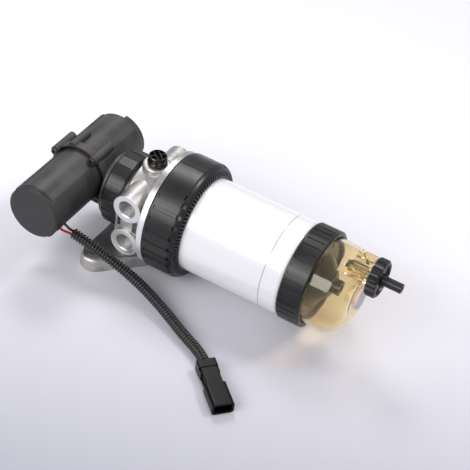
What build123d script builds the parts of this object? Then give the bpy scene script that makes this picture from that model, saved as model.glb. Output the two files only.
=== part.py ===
from build123d import *

import os
from math import cos, pi, radians, sin, tan

os.makedirs("parts", exist_ok=True)

# Fuel water separator with an electric lift pump, lying on its mounting face.
# Millimetres. The mounting face is z = 0 and the origin is midway between its two bolt holes.
# The canister axis runs along +X towards the clear bowl, and the pump axis runs along Y.

# Clearances
RUNNING_GAP = 0.3
SEAT_GAP = 0.25
TURNING_GAP = 0.4

# Mounting foot
AXIS_HEIGHT = 54.0
FOOT_THICKNESS = 13.0
FOOT_HOLE_SPACING = 92.0
FOOT_HOLE_RADIUS = 4.5
FOOT_EAR_RADIUS = 12.0
FOOT_TOE_X = 33.0
FOOT_TOE_Y = 21.0
FOOT_TOE_RADIUS = 5.0
FOOT_ROUNDING = 3.0
PEDESTAL_HALF_WIDTH = 26.0

# Head casting
HEAD_BACK_X = 13.0
HEAD_BACK_RADIUS = 34.0
HEAD_WAIST_RADIUS = 35.6
HEAD_SHOULDER_X = 35.5
HEAD_SHOULDER_RADIUS = 38.5
RIM_STEP_X = 39.5
RIM_STEP_RADIUS = 48.7
RIM_X = 41.0
RIM_THICKNESS = 5.0
RIM_RADIUS = 51.0
SKIRT_WALL = 4.6
SKIRT_LENGTH = 11.0
NIPPLE_RADIUS = 9.5
NIPPLE_LENGTH = 18.5
PASSAGE_RADIUS = 5.5

# Ports and vent boss
PORT_X = 26.1
PORT_UPPER_OFFSET = 18.35
PORT_LOWER_OFFSET = -17.7
PORT_BOSS_RADIUS = 13.0
PORT_FRONT_REACH = 43.7
PORT_REAR_REACH = 40.5
PORT_THREAD_RADIUS = 7.25
PORT_THREAD_DEPTH = 15.0
PORT_DRILL_RADIUS = 4.0
PORT_DRILL_DEPTH = 36.0
PORT_CHAMFER = 1.0
WEB_SETBACK = 2.4
WEB_DEPTH = 14.0
VENT_BOSS_RADIUS = 12.0
VENT_BOSS_HEIGHT = 40.1
VENT_BOSS_ROUNDING = 2.0
VENT_HOLE_DEPTH = 24.0

# Vent plug and its seal
VENT_STEM_RADIUS = 3.3
VENT_STEM_LENGTH = 11.0
VENT_KNOB_RADIUS = 7.8
VENT_KNOB_BASE_RADIUS = 8.6
VENT_KNOB_HEIGHT = 8.3
VENT_RECESS_DEPTH = 3.6
VENT_RECESS_WALL = 1.2
VENT_RIB = 1.0
VENT_SLOT_WIDTH = 3.2
VENT_SLOT_ANGLE = -40.0
O_RING_SECTION = 0.75

# Canister
CANISTER_RADIUS = 41.75
CANISTER_WALL = 0.9
CANISTER_END_X = 167.0
BEAD_X = 67.3
BEAD_LENGTH = 4.8
BEAD_HEIGHT = 4.0
CANISTER_GASKET = 2.4
NECK_LENGTH = 5.0
NECK_STEP = 2.95

# Filter element inside the canister
CENTRE_TUBE_RADIUS = 13.6
CENTRE_TUBE_WALL = 1.1
CENTRE_TUBE_SLOT = 4.0
PLEAT_COUNT = 30
PLEAT_OUTER = 37.4
PLEAT_INNER = 17.6
PLEAT_FOLD = 3.0
TOP_CAP_THICKNESS = 3.0
TOP_CAP_X = 60.0
CAP_RIM = 1.5

# Lock ring that holds the canister on the head
LOCK_RING_WALL = 3.1
LOCK_RING_LENGTH = 31.2
LOCK_RING_CHAMFER_LENGTH = 7.0
LOCK_NOSE_WALL = 1.05
LOCK_LUG_HEIGHT = 1.6
LOCK_LUG_LENGTH = 4.0
LOCK_LUG_SPAN = 50.0
LUG_FIRST_ANGLE = 30.0
LOCK_FLUTE_PITCH = 11.25
LOCK_FLUTE_MIDDLE = 1.0
LOCK_FLUTE_WIDTH = 3.0
LOCK_FLUTE_DEPTH = 0.9
LOCK_FLUTE_MARGIN = 2.5
LOCK_PANEL_HALF_ANGLE = 35.0
LOCK_POCKET_DEPTH = 2.0
LOCK_POCKET_LENGTH = 4.4
LOCK_NOTCH_COUNT = 90
LOCK_NOTCH_WIDTH = 1.5
LOCK_NOTCH_DEPTH = 1.4
LOCK_WINDOW_ANGLE = 122.0

# Bowl ring
BOWL_RING_X = 169.7
BOWL_RING_RADIUS = 42.8
BOWL_RING_LENGTH = 20.6
BOWL_RING_BORE = 41.5
BOWL_RING_BACK_LIP = 2.1
BOWL_TAB_SPAN = 40.0
BOWL_PASS_SPAN = 46.0
BOWL_RING_FLUTES = 40
BOWL_RING_FLUTE_WIDTH = 2.0
BOWL_RING_FLUTE_DEPTH = 0.7

# Lower cap of the element, seen through the bowl
COLLAR_RADIUS = 40.9
COLLAR_X = 172.5
COLLAR_LENGTH = 7.9
PLUG_END_X = 188.0
SPIGOT_BASE_RADIUS = 25.0
SPIGOT_RADIUS = 10.0
SPIGOT_LENGTH = 12.0
SPIGOT_TIP_RADIUS = 6.5
SPIGOT_TIP_LENGTH = 7.5
SPIGOT_BORE = 3.5
WATER_HOLE_COUNT = 6
WATER_HOLE_RADIUS = 2.2
WATER_HOLE_CIRCLE = 29.0

# Clear bowl
BOWL_SEAL = 0.7
BOWL_FLANGE_THICKNESS = 3.5
BOWL_FLANGE_RADIUS = 41.2
BOWL_RADIUS = 38.5
BOWL_END_RADIUS = 37.7
BOWL_WALL = 2.7
BOWL_LENGTH = 42.4
BOWL_ROUNDING = 19.0
HOOD_HALF_ANGLE = 27.0
HOOD_WALL = 2.2
HOOD_REACH = 3.6
RIB_THICKNESS = 1.8
DRAIN_OFFSET = 27.5
DRAIN_SIDE = 1.0
DRAIN_BOSS_RADIUS = 9.3
DRAIN_BOSS_SIDES = 8
DRAIN_BOSS_DEPTH = 12.0
DRAIN_BOSS_REACH = 5.0
RIB_DEPTH = 9.0
PLUG_BOSS_RADIUS = 7.5
PLUG_BOSS_LENGTH = 6.0
PLUG_STUB_RADIUS = 5.0
PLUG_HEAD_RADIUS = 10.0
PLUG_HEAD_THICKNESS = 2.7

# Drain valve
DRAIN_STEM_RADIUS = 3.2
DRAIN_STEM_LENGTH = 22.0
DRAIN_WHEEL_RADIUS = 16.5
DRAIN_WHEEL_THICKNESS = 9.2
DRAIN_WHEEL_DISH = 2.0
DRAIN_HUB_RADIUS = 5.6
DRAIN_SPOUT_RADIUS = 4.2
DRAIN_SPOUT_LENGTH = 17.0
DRAIN_BORE_RADIUS = 2.0
DRAIN_FLUTE_COUNT = 20
DRAIN_FLUTE_RADIUS = 2.0

# Pump body
PUMP_X = -37.2
PUMP_RISE = 10.2
PUMP_RADIUS = 23.5
PUMP_WALL = 1.7
PUMP_FRONT_Y = -86.3
PUMP_REAR_Y = 42.5
PUMP_PAD_HEIGHT = 2.8
PUMP_PAD_SETBACK = 0.9
PUMP_PAD_EDGE = 3.3
PUMP_SPLIT_Y = -20.8
PUMP_CAP_THICKNESS = 1.0
PUMP_CAP_PLUG = 3.5
PUMP_ENTRY = 11.0
PUMP_RIM_RADIUS = 27.2
PUMP_RIM_LENGTH = 8.8
PUMP_REAR_RADIUS = 24.6
PUMP_REAR_ROUNDING = 3.0
PUMP_REAR_WALL = 5.5
PUMP_MOUTH_RECESS = 2.3
PUMP_MOUTH_DEPTH = 4.0
PUMP_CHAMBER_RADIUS = 16.0
PUMP_STAGE_RADIUS = 20.0
EAR_RADIUS = 4.2
EAR_CIRCLE = 27.0
EAR_FIRST_ANGLE = 56.0
EAR_LENGTH = 23.0
EAR_THICKNESS = 3.1
BLANK_BOSS_ANGLE = 107.0
BLANK_BOSS_RADIUS = 3.4
SCREW_RADIUS = 1.9
SCREW_HEAD_RADIUS = 2.9
SCREW_HEAD_HEIGHT = 2.0
SCREW_LENGTH = 14.0
RIB_HEIGHT = 0.75
RIB_WIDTH = 0.8
RIB_PITCH = 1.7
SIDE_RIB_ANGLE = 45.0
WIRE_SLOT_ANGLE = -15.0
WIRE_SLOT_WIDTH = 9.4
WIRE_SLOT_LENGTH = 6.8
WIRE_SLOT_SETBACK = 7.0
GROMMET_THICKNESS = 2.3

# Pump neck and collar
NECK_RADIUS = 24.0
NECK_COLLAR_RADIUS = 29.5
NECK_COLLAR_X = -10.8
NECK_FLARE_LENGTH = 5.2
NECK_SHOULDER_X = -3.9
NECK_SHOULDER_THICKNESS = 3.0
NECK_NOSE_RADIUS = 22.0
NECK_NOSE_END_X = 8.0
NECK_BORE = 11.0
SOCKET_WALL = 5.7
COLLAR_BACK_X = -7.2
COLLAR_FRONT_X = 9.9
COLLAR_NUT_RADIUS = 33.6
COLLAR_NUT_CHAMFER = 2.2
COLLAR_TAB = 2.5
SPIGOT_LUG_HEIGHT = 1.1
SPIGOT_LUG_LENGTH = 3.0
COLLAR_FLUTE_COUNT = 20
COLLAR_FLUTE_FIRST = 4.0
COLLAR_FLUTE_WIDTH = 3.0
COLLAR_FLUTE_DEPTH = 0.9

# Electric motor and impeller inside the pump
MOTOR_CAN_RADIUS = 20.9
MOTOR_CAN_WALL = 1.3
MOTOR_CAN_START_Y = -73.5
MOTOR_CAN_END_Y = -15.0
MAGNET_THICKNESS = 4.0
MAGNET_SPAN = 150.0
MAGNET_LENGTH = 40.0
ARMATURE_RADIUS = 14.6
ARMATURE_LENGTH = 30.0
ARMATURE_SLOTS = 8
ARMATURE_SLOT_WIDTH = 3.2
ARMATURE_SLOT_DEPTH = 6.0
WINDING_LENGTH = 6.0
COMMUTATOR_RADIUS = 6.5
COMMUTATOR_LENGTH = 8.0
SHAFT_RADIUS = 2.5
BEARING_RADIUS = 6.0
BEARING_LENGTH = 5.0
BRUSH_SIZE = 4.0
STAGE_PLATE_THICKNESS = 3.6
IMPELLER_THICKNESS = 4.0
IMPELLER_RADIUS = 18.0
IMPELLER_VANES = 24
IMPELLER_VANE_DEPTH = 3.0

# Wiring and connector
WIRE_RADIUS = 1.1
CONDUIT_RADIUS = 4.8
CONDUIT_BORE = 3.7
CONNECTOR_BACK = (140.7, -95.3)
CONNECTOR_HEADING = -42.4
CONDUIT_INSERTION = 3.0
CONDUIT_LAST_RUN = 13.0
BOOT_LENGTH = 8.0
BOOT_WIDTH = 16.4
BOOT_HEIGHT = 11.5
BOOT_WING_LENGTH = 6.0
BOOT_WING_THICKNESS = 0.9
BOOT_WING_HEIGHT = 7.0
BODY_LENGTH = 18.0
BODY_WIDTH = 14.2
BODY_HEIGHT = 10.4
SHROUD_LENGTH = 23.2
SHROUD_WIDTH = 18.5
SHROUD_WALL = 1.8
SOCKET_DEPTH = 17.0
TERMINAL_PITCH = 5.6
TERMINAL_SIZE = 1.6
TERMINAL_REACH = 8.0

# Places worked out from the sizes above
rim_face_x = RIM_X + RIM_THICKNESS
skirt_radius = CANISTER_RADIUS + TURNING_GAP + SKIRT_WALL
skirt_end_x = rim_face_x + SKIRT_LENGTH
gasket_seat_x = rim_face_x + 1.5
canister_start_x = gasket_seat_x + CANISTER_GASKET
canister_inner = CANISTER_RADIUS - CANISTER_WALL
neck_inner = canister_inner - NECK_STEP
neck_outer = neck_inner + CANISTER_WALL
lock_ring_x = rim_face_x + RUNNING_GAP
lock_ring_end_x = lock_ring_x + LOCK_RING_LENGTH
lock_ring_bore = skirt_radius + LOCK_LUG_HEIGHT + TURNING_GAP
lock_ring_radius = lock_ring_bore + LOCK_RING_WALL
lock_nose_radius = CANISTER_RADIUS + TURNING_GAP + LOCK_NOSE_WALL
bowl_x = COLLAR_X + COLLAR_LENGTH + BOWL_SEAL
bowl_end_x = bowl_x + BOWL_LENGTH
bowl_flange_end_x = bowl_x + BOWL_FLANGE_THICKNESS
hood_end_x = bowl_end_x + HOOD_REACH
drain_boss_end_x = bowl_end_x + DRAIN_BOSS_REACH
wheel_x = drain_boss_end_x + 2 * O_RING_SECTION
vent_top_z = AXIS_HEIGHT + VENT_BOSS_HEIGHT
socket_x = NECK_SHOULDER_X + NECK_SHOULDER_THICKNESS + RUNNING_GAP
socket_radius = NECK_NOSE_RADIUS + SEAT_GAP
socket_outer = socket_radius + SOCKET_WALL
socket_floor_x = NECK_NOSE_END_X + RUNNING_GAP
collar_bore = socket_outer + SPIGOT_LUG_HEIGHT + TURNING_GAP
neck_shoulder_radius = collar_bore - TURNING_GAP
collar_tab_x = COLLAR_FRONT_X - COLLAR_TAB
port_heights = [AXIS_HEIGHT + PORT_UPPER_OFFSET, AXIS_HEIGHT + PORT_LOWER_OFFSET]
lug_angles = [LUG_FIRST_ANGLE + 120 * turn for turn in range(3)]
pump_z = AXIS_HEIGHT + PUMP_RISE

axis_plane = Plane(origin=(0, 0, AXIS_HEIGHT), x_dir=(1, 0, 0), z_dir=(0, -1, 0))
canister_axis = Axis((0, 0, AXIS_HEIGHT), (1, 0, 0))
pump_plane = Plane(origin=(PUMP_X, 0, pump_z), x_dir=(0, 1, 0), z_dir=(1, 0, 0))
pump_axis = Axis((PUMP_X, 0, pump_z), (0, 1, 0))
vent_axis = Axis((PORT_X, 0, 0), (0, 0, 1))
drain_z = AXIS_HEIGHT + DRAIN_OFFSET
drain_plane = Plane(origin=(0, DRAIN_SIDE, drain_z), x_dir=(1, 0, 0), z_dir=(0, -1, 0))
drain_axis = Axis((0, DRAIN_SIDE, drain_z), (1, 0, 0))


def across(x):
    """The plane across the canister axis at x, with Y to the right and Z up."""
    return Plane(origin=(x, 0, AXIS_HEIGHT), x_dir=(0, 1, 0), z_dir=(1, 0, 0))


def across_drain(x):
    """The plane across the drain valve's axis at x."""
    return Plane(origin=(x, DRAIN_SIDE, drain_z), x_dir=(0, 1, 0), z_dir=(1, 0, 0))


def across_pump(y):
    """The plane across the pump axis at y, with X to the right, Z up and its normal to the front."""
    return Plane(origin=(PUMP_X, y, pump_z), x_dir=(1, 0, 0), z_dir=(0, -1, 0))


def polar(radius, angle):
    return (radius * cos(radians(angle)), radius * sin(radians(angle)))


def outline(*points):
    """A closed face of straight runs."""
    with BuildSketch() as flat:
        with BuildLine():
            Polyline(*points, close=True)
        make_face()
    return flat.sketch


def band(start, end, inner, outer):
    """A rectangle in a half section: from start to end along the axis, inner to outer in radius."""
    return outline((start, inner), (end, inner), (end, outer), (start, outer))


def sector(inner, outer, middle, span):
    """A sector of a ring, with its middle and its span in degrees."""
    first = middle - span / 2
    with BuildSketch() as flat:
        with BuildLine():
            CenterArc((0, 0), inner, first, span)
            CenterArc((0, 0), outer, first, span)
            Line(polar(inner, first), polar(outer, first))
            Line(polar(inner, first + span), polar(outer, first + span))
        make_face()
    return flat.sketch


# Head casting, with its foot, ports, vent boss and the skirt that takes the canister
with BuildPart() as filter_head:
    with BuildSketch(axis_plane):
        with BuildLine():
            Polyline(
                (HEAD_BACK_X + 1.5, HEAD_BACK_RADIUS),
                (HEAD_BACK_X, HEAD_BACK_RADIUS - 1.5),
                (HEAD_BACK_X, socket_outer),
                (socket_x, socket_outer),
                (socket_x, 0),
                (skirt_end_x, 0),
                (skirt_end_x, skirt_radius),
                (rim_face_x, skirt_radius),
                (rim_face_x, RIM_RADIUS),
                (RIM_X, RIM_RADIUS),
                (RIM_X, RIM_STEP_RADIUS),
                (RIM_STEP_X, RIM_STEP_RADIUS),
                (RIM_STEP_X, HEAD_SHOULDER_RADIUS + 3),
                (HEAD_SHOULDER_X, HEAD_SHOULDER_RADIUS),
            )
            ThreePointArc(
                (HEAD_SHOULDER_X, HEAD_SHOULDER_RADIUS),
                (PORT_X, HEAD_WAIST_RADIUS),
                (HEAD_BACK_X + 1.5, HEAD_BACK_RADIUS),
            )
        make_face()
    revolve(axis=canister_axis)

    # Foot: two bolt ears joined by a tapering plate
    with BuildSketch(Plane.XY):
        with Locations((0, FOOT_HOLE_SPACING / 2), (0, -FOOT_HOLE_SPACING / 2)):
            Circle(FOOT_EAR_RADIUS)
        with Locations((FOOT_TOE_X, FOOT_TOE_Y), (FOOT_TOE_X, -FOOT_TOE_Y)):
            Circle(FOOT_TOE_RADIUS)
        make_hull()
    foot = extrude(amount=FOOT_THICKNESS)
    pedestal_top = Plane.XY.offset(AXIS_HEIGHT)
    with BuildSketch(pedestal_top):
        with Locations(((HEAD_BACK_X + RIM_STEP_X) / 2, 0)):
            Rectangle(RIM_STEP_X - HEAD_BACK_X, 2 * PEDESTAL_HALF_WIDTH)
    extrude(amount=-(AXIS_HEIGHT - FOOT_THICKNESS / 2))

    # Port bosses run through the body: the front pair is threaded, the rear pair is left blank
    for height in port_heights:
        with BuildSketch(Plane(origin=(PORT_X, -PORT_FRONT_REACH, height), z_dir=(0, 1, 0))):
            Circle(PORT_BOSS_RADIUS)
        extrude(amount=PORT_FRONT_REACH + PORT_REAR_REACH)
    web_face = Plane(
        origin=(PORT_X, WEB_SETBACK - PORT_FRONT_REACH, AXIS_HEIGHT),
        x_dir=(1, 0, 0),
        z_dir=(0, -1, 0),
    )
    with BuildSketch(web_face):
        Rectangle(2 * PORT_BOSS_RADIUS - 3, PORT_UPPER_OFFSET - PORT_LOWER_OFFSET)
    extrude(amount=-WEB_DEPTH)
    with BuildSketch(web_face):
        with Locations((-8.0, 0.6)):
            Rectangle(3.0, 9.0)
        with Locations((7.6, 0.6)):
            Rectangle(5.0, 12.0)
    extrude(amount=-7, mode=Mode.SUBTRACT)

    # Vent boss
    with BuildSketch(Plane.XY.offset(vent_top_z)):
        with Locations((PORT_X, 0)):
            Circle(VENT_BOSS_RADIUS)
    extrude(amount=-(VENT_BOSS_HEIGHT - 10))

    # Lugs round the skirt, which the lock ring's tabs turn behind
    with BuildSketch(across(skirt_end_x)):
        for angle in lug_angles:
            add(
                sector(
                    skirt_radius - 0.5,
                    skirt_radius + LOCK_LUG_HEIGHT,
                    angle,
                    LOCK_LUG_SPAN,
                )
            )
    extrude(amount=-LOCK_LUG_LENGTH)

    # Lugs round the spigot, which hold the pump collar's tabs
    with BuildSketch(across(collar_tab_x - RUNNING_GAP)):
        for angle in lug_angles:
            add(
                sector(
                    socket_outer - 0.5,
                    socket_outer + SPIGOT_LUG_HEIGHT,
                    angle,
                    LOCK_LUG_SPAN,
                )
            )
    extrude(amount=-SPIGOT_LUG_LENGTH)

    # Seat of the canister inside the skirt, round the nipple
    with BuildSketch(axis_plane):
        add(band(gasket_seat_x, skirt_end_x + 1, NIPPLE_RADIUS, CANISTER_RADIUS + TURNING_GAP))
    revolve(axis=canister_axis, mode=Mode.SUBTRACT)
    with BuildSketch(across(gasket_seat_x)):
        Circle(NIPPLE_RADIUS)
    extrude(amount=NIPPLE_LENGTH)

    # Socket for the pump neck, and the passages
    with BuildSketch(axis_plane):
        add(band(socket_x - 1, socket_floor_x, 0, socket_radius))
    revolve(axis=canister_axis, mode=Mode.SUBTRACT)
    with BuildSketch(across(socket_floor_x)):
        Circle(PASSAGE_RADIUS)
    extrude(amount=gasket_seat_x + NIPPLE_LENGTH - socket_floor_x, mode=Mode.SUBTRACT)
    for height in port_heights:
        with BuildSketch(Plane(origin=(PORT_X, -PORT_FRONT_REACH, height), z_dir=(0, 1, 0))):
            Circle(PORT_THREAD_RADIUS)
        extrude(amount=PORT_THREAD_DEPTH, mode=Mode.SUBTRACT)
        with BuildSketch(Plane(origin=(PORT_X, -PORT_FRONT_REACH, height), z_dir=(0, 1, 0))):
            Circle(PORT_DRILL_RADIUS)
        extrude(amount=PORT_DRILL_DEPTH, mode=Mode.SUBTRACT)
    gallery_y = PORT_DRILL_DEPTH - PORT_FRONT_REACH - PORT_DRILL_RADIUS
    with BuildSketch(across(PORT_X)):
        with Locations((gallery_y, PORT_UPPER_OFFSET)):
            Circle(PORT_DRILL_RADIUS - 0.5)
    extrude(amount=rim_face_x - PORT_X + 2, mode=Mode.SUBTRACT)
    with BuildSketch(across(PORT_X)):
        with Locations((gallery_y, PORT_LOWER_OFFSET)):
            Circle(PORT_DRILL_RADIUS - 0.5)
    extrude(amount=-(PORT_X - socket_floor_x + 1), mode=Mode.SUBTRACT)
    with Locations(Plane.XY.offset(vent_top_z)):
        with Locations((PORT_X, 0)):
            CounterBoreHole(
                radius=VENT_STEM_RADIUS + RUNNING_GAP,
                counter_bore_radius=VENT_STEM_RADIUS + 2 * RUNNING_GAP + 2 * O_RING_SECTION,
                counter_bore_depth=2 * O_RING_SECTION + SEAT_GAP,
                depth=VENT_HOLE_DEPTH,
            )
    with Locations(Plane.XY.offset(FOOT_THICKNESS)):
        with Locations((0, FOOT_HOLE_SPACING / 2), (0, -FOOT_HOLE_SPACING / 2)):
            Hole(FOOT_HOLE_RADIUS, depth=FOOT_THICKNESS)
    vent_rim = filter_head.edges().filter_by(GeomType.CIRCLE).filter_by(
        lambda edge: abs(edge.radius - VENT_BOSS_RADIUS) < 0.01 and edge.center().Z > vent_top_z - 0.1
    )
    fillet(vent_rim, VENT_BOSS_ROUNDING)
    foot_rim = filter_head.edges().filter_by(Plane.XY).filter_by(
        lambda edge: abs(edge.center().Z - FOOT_THICKNESS) < 0.01
        and abs(edge.center().Y) > PEDESTAL_HALF_WIDTH
        and not (edge.geom_type == GeomType.CIRCLE and edge.radius < FOOT_EAR_RADIUS - 1)
    )
    fillet(foot_rim, FOOT_ROUNDING)
    port_mouths = filter_head.edges().filter_by(GeomType.CIRCLE).filter_by(
        lambda edge: abs(edge.radius - PORT_THREAD_RADIUS) < 0.01
        and abs(edge.center().Y + PORT_FRONT_REACH) < 0.01
    )
    chamfer(port_mouths, PORT_CHAMFER)

# Vent plug: a knob with a slotted recess on a threaded stem
knob_z = vent_top_z + RUNNING_GAP
knob_top_z = knob_z + VENT_KNOB_HEIGHT
with BuildPart() as vent_plug:
    with BuildSketch(Plane(origin=(PORT_X, 0, 0), x_dir=(1, 0, 0), z_dir=(0, -1, 0))):
        add(
            outline(
                (0, knob_z - VENT_STEM_LENGTH),
                (VENT_STEM_RADIUS, knob_z - VENT_STEM_LENGTH),
                (VENT_STEM_RADIUS, knob_z),
                (VENT_KNOB_BASE_RADIUS, knob_z),
                (VENT_KNOB_BASE_RADIUS, knob_z + 2.2),
                (VENT_KNOB_RADIUS + 0.3, knob_z + 3.0),
                (VENT_KNOB_RADIUS, knob_top_z - 0.8),
                (VENT_KNOB_RADIUS - 0.8, knob_top_z),
                (0, knob_top_z),
            )
        )
    revolve(axis=vent_axis)
    recess_radius = VENT_KNOB_RADIUS - VENT_RECESS_WALL
    with BuildSketch(Plane(origin=(PORT_X, 0, knob_top_z)).rotated((0, 0, VENT_SLOT_ANGLE))):
        Circle(recess_radius)
        with Locations((0, VENT_SLOT_WIDTH / 2 + VENT_RIB / 2), (0, -VENT_SLOT_WIDTH / 2 - VENT_RIB / 2)):
            Rectangle(2 * recess_radius, VENT_RIB, mode=Mode.SUBTRACT)
        with Locations((0, recess_radius), (0, -recess_radius)):
            Rectangle(VENT_RIB, 2 * recess_radius - VENT_SLOT_WIDTH - VENT_RIB, mode=Mode.SUBTRACT)
    extrude(amount=-VENT_RECESS_DEPTH, mode=Mode.SUBTRACT)

with BuildPart() as vent_o_ring:
    ring_z = vent_top_z - O_RING_SECTION
    with BuildSketch(Plane(origin=(PORT_X, 0, 0), x_dir=(1, 0, 0), z_dir=(0, -1, 0))):
        with Locations((VENT_STEM_RADIUS + RUNNING_GAP + O_RING_SECTION, ring_z)):
            Circle(O_RING_SECTION)
    revolve(axis=vent_axis)

# Canister: a thin shell with a rolled bead under the lock ring and a necked lower end
neck_x = CANISTER_END_X + 2.6
with BuildPart() as canister_shell:
    with BuildSketch(axis_plane):
        add(
            outline(
                (canister_start_x, CANISTER_RADIUS),
                (BEAD_X, CANISTER_RADIUS),
                (BEAD_X + 0.9, CANISTER_RADIUS + BEAD_HEIGHT),
                (BEAD_X + BEAD_LENGTH - 0.9, CANISTER_RADIUS + BEAD_HEIGHT),
                (BEAD_X + BEAD_LENGTH, CANISTER_RADIUS),
                (CANISTER_END_X, CANISTER_RADIUS),
                (CANISTER_END_X + 1.7, CANISTER_RADIUS - 0.7),
                (neck_x, CANISTER_RADIUS - 1.9),
                (neck_x, neck_outer),
                (neck_x + NECK_LENGTH - 2.6, neck_outer),
                (neck_x + NECK_LENGTH - 2.6, neck_inner),
                (neck_x - CANISTER_WALL, neck_inner),
                (neck_x - CANISTER_WALL, CANISTER_RADIUS - 2.3),
                (CANISTER_END_X + 1.2, canister_inner - 0.6),
                (CANISTER_END_X - 0.2, canister_inner),
                (BEAD_X + BEAD_LENGTH - 0.9, canister_inner),
                (BEAD_X + BEAD_LENGTH - 1.7, canister_inner + BEAD_HEIGHT),
                (BEAD_X + 1.7, canister_inner + BEAD_HEIGHT),
                (BEAD_X + 0.9, canister_inner),
                (canister_start_x, canister_inner),
            )
        )
    revolve(axis=canister_axis)

with BuildPart() as canister_gasket:
    with BuildSketch(axis_plane):
        add(band(gasket_seat_x, canister_start_x, canister_inner - 2.2, CANISTER_RADIUS + 0.2))
    revolve(axis=canister_axis)

# Filter element: folded paper between two caps, round a slotted tube
plug_radius = BOWL_END_RADIUS - BOWL_WALL - SEAT_GAP
pass_radius = neck_outer + SEAT_GAP
media_x = TOP_CAP_X + TOP_CAP_THICKNESS
media_end_x = COLLAR_X - 6.2
pleat_pitch = 360 / PLEAT_COUNT
with BuildPart() as top_cap:
    with BuildSketch(axis_plane):
        add(band(TOP_CAP_X, media_x, NIPPLE_RADIUS + SEAT_GAP, canister_inner - 1.0))
        add(band(TOP_CAP_X, media_x + CAP_RIM, canister_inner - 2.4, canister_inner - 1.0))
    revolve(axis=canister_axis)

with BuildPart() as centre_tube:
    with BuildSketch(axis_plane):
        add(
            band(
                media_x,
                media_end_x,
                CENTRE_TUBE_RADIUS - CENTRE_TUBE_WALL,
                CENTRE_TUBE_RADIUS,
            )
        )
    revolve(axis=canister_axis)
    slot_count = 4
    slot_pitch = (media_end_x - media_x) / slot_count
    for row in range(slot_count):
        slot_x = media_x + slot_pitch * (row + 0.5)
        with BuildSketch(Plane(origin=(slot_x, 0, AXIS_HEIGHT))):
            SlotOverall(slot_pitch * 0.6, CENTRE_TUBE_SLOT)
        extrude(amount=CENTRE_TUBE_RADIUS + 1, both=True, mode=Mode.SUBTRACT)
        with BuildSketch(Plane(origin=(slot_x, 0, AXIS_HEIGHT), x_dir=(1, 0, 0), z_dir=(0, -1, 0))):
            SlotOverall(slot_pitch * 0.6, CENTRE_TUBE_SLOT)
        extrude(amount=CENTRE_TUBE_RADIUS + 1, both=True, mode=Mode.SUBTRACT)

with BuildPart() as pleated_paper:
    with BuildSketch(across(media_x)):
        with BuildLine():
            Polyline(
                *[
                    polar(PLEAT_OUTER if half % 2 == 0 else PLEAT_INNER, pleat_pitch * half / 2)
                    for half in range(2 * PLEAT_COUNT)
                ],
                close=True,
            )
        make_face()
        with BuildLine():
            Polyline(
                *[
                    polar(
                        (PLEAT_OUTER if half % 2 == 0 else PLEAT_INNER) - PLEAT_FOLD,
                        pleat_pitch * half / 2,
                    )
                    for half in range(2 * PLEAT_COUNT)
                ],
                close=True,
            )
        make_face(mode=Mode.SUBTRACT)
    extrude(amount=media_end_x - media_x)

# Lower cap: closes the element, carries the bowl ring and shows as the dark disc in the bowl
spigot_end_x = PLUG_END_X + SPIGOT_LENGTH
with BuildPart() as lower_cap:
    with BuildSketch(axis_plane):
        add(
            outline(
                (media_end_x, SPIGOT_BORE),
                (media_end_x, neck_inner),
                (COLLAR_X, neck_inner),
                (COLLAR_X, COLLAR_RADIUS),
                (COLLAR_X + COLLAR_LENGTH, COLLAR_RADIUS),
                (COLLAR_X + COLLAR_LENGTH, plug_radius),
                (PLUG_END_X - 1.5, plug_radius),
                (PLUG_END_X, plug_radius - 1.5),
                (PLUG_END_X, SPIGOT_BASE_RADIUS),
                (spigot_end_x, SPIGOT_RADIUS),
                (spigot_end_x, SPIGOT_TIP_RADIUS),
                (spigot_end_x + SPIGOT_TIP_LENGTH, SPIGOT_TIP_RADIUS),
                (spigot_end_x + SPIGOT_TIP_LENGTH, SPIGOT_BORE),
            )
        )
        add(
            band(
                media_end_x + 4,
                PLUG_END_X - 3,
                SPIGOT_RADIUS,
                neck_inner - 4,
            ),
            mode=Mode.SUBTRACT,
        )
    revolve(axis=canister_axis)
    with BuildSketch(across(PLUG_END_X)):
        with PolarLocations(WATER_HOLE_CIRCLE, WATER_HOLE_COUNT):
            Circle(WATER_HOLE_RADIUS)
    extrude(amount=-4, mode=Mode.SUBTRACT)
    # Gaps in the collar where the bowl ring's tabs pass
    with BuildSketch(across(COLLAR_X - 1)):
        for angle in lug_angles:
            add(sector(pass_radius, COLLAR_RADIUS + 1, angle + 60, BOWL_PASS_SPAN))
    extrude(amount=COLLAR_LENGTH + 2, mode=Mode.SUBTRACT)

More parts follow.
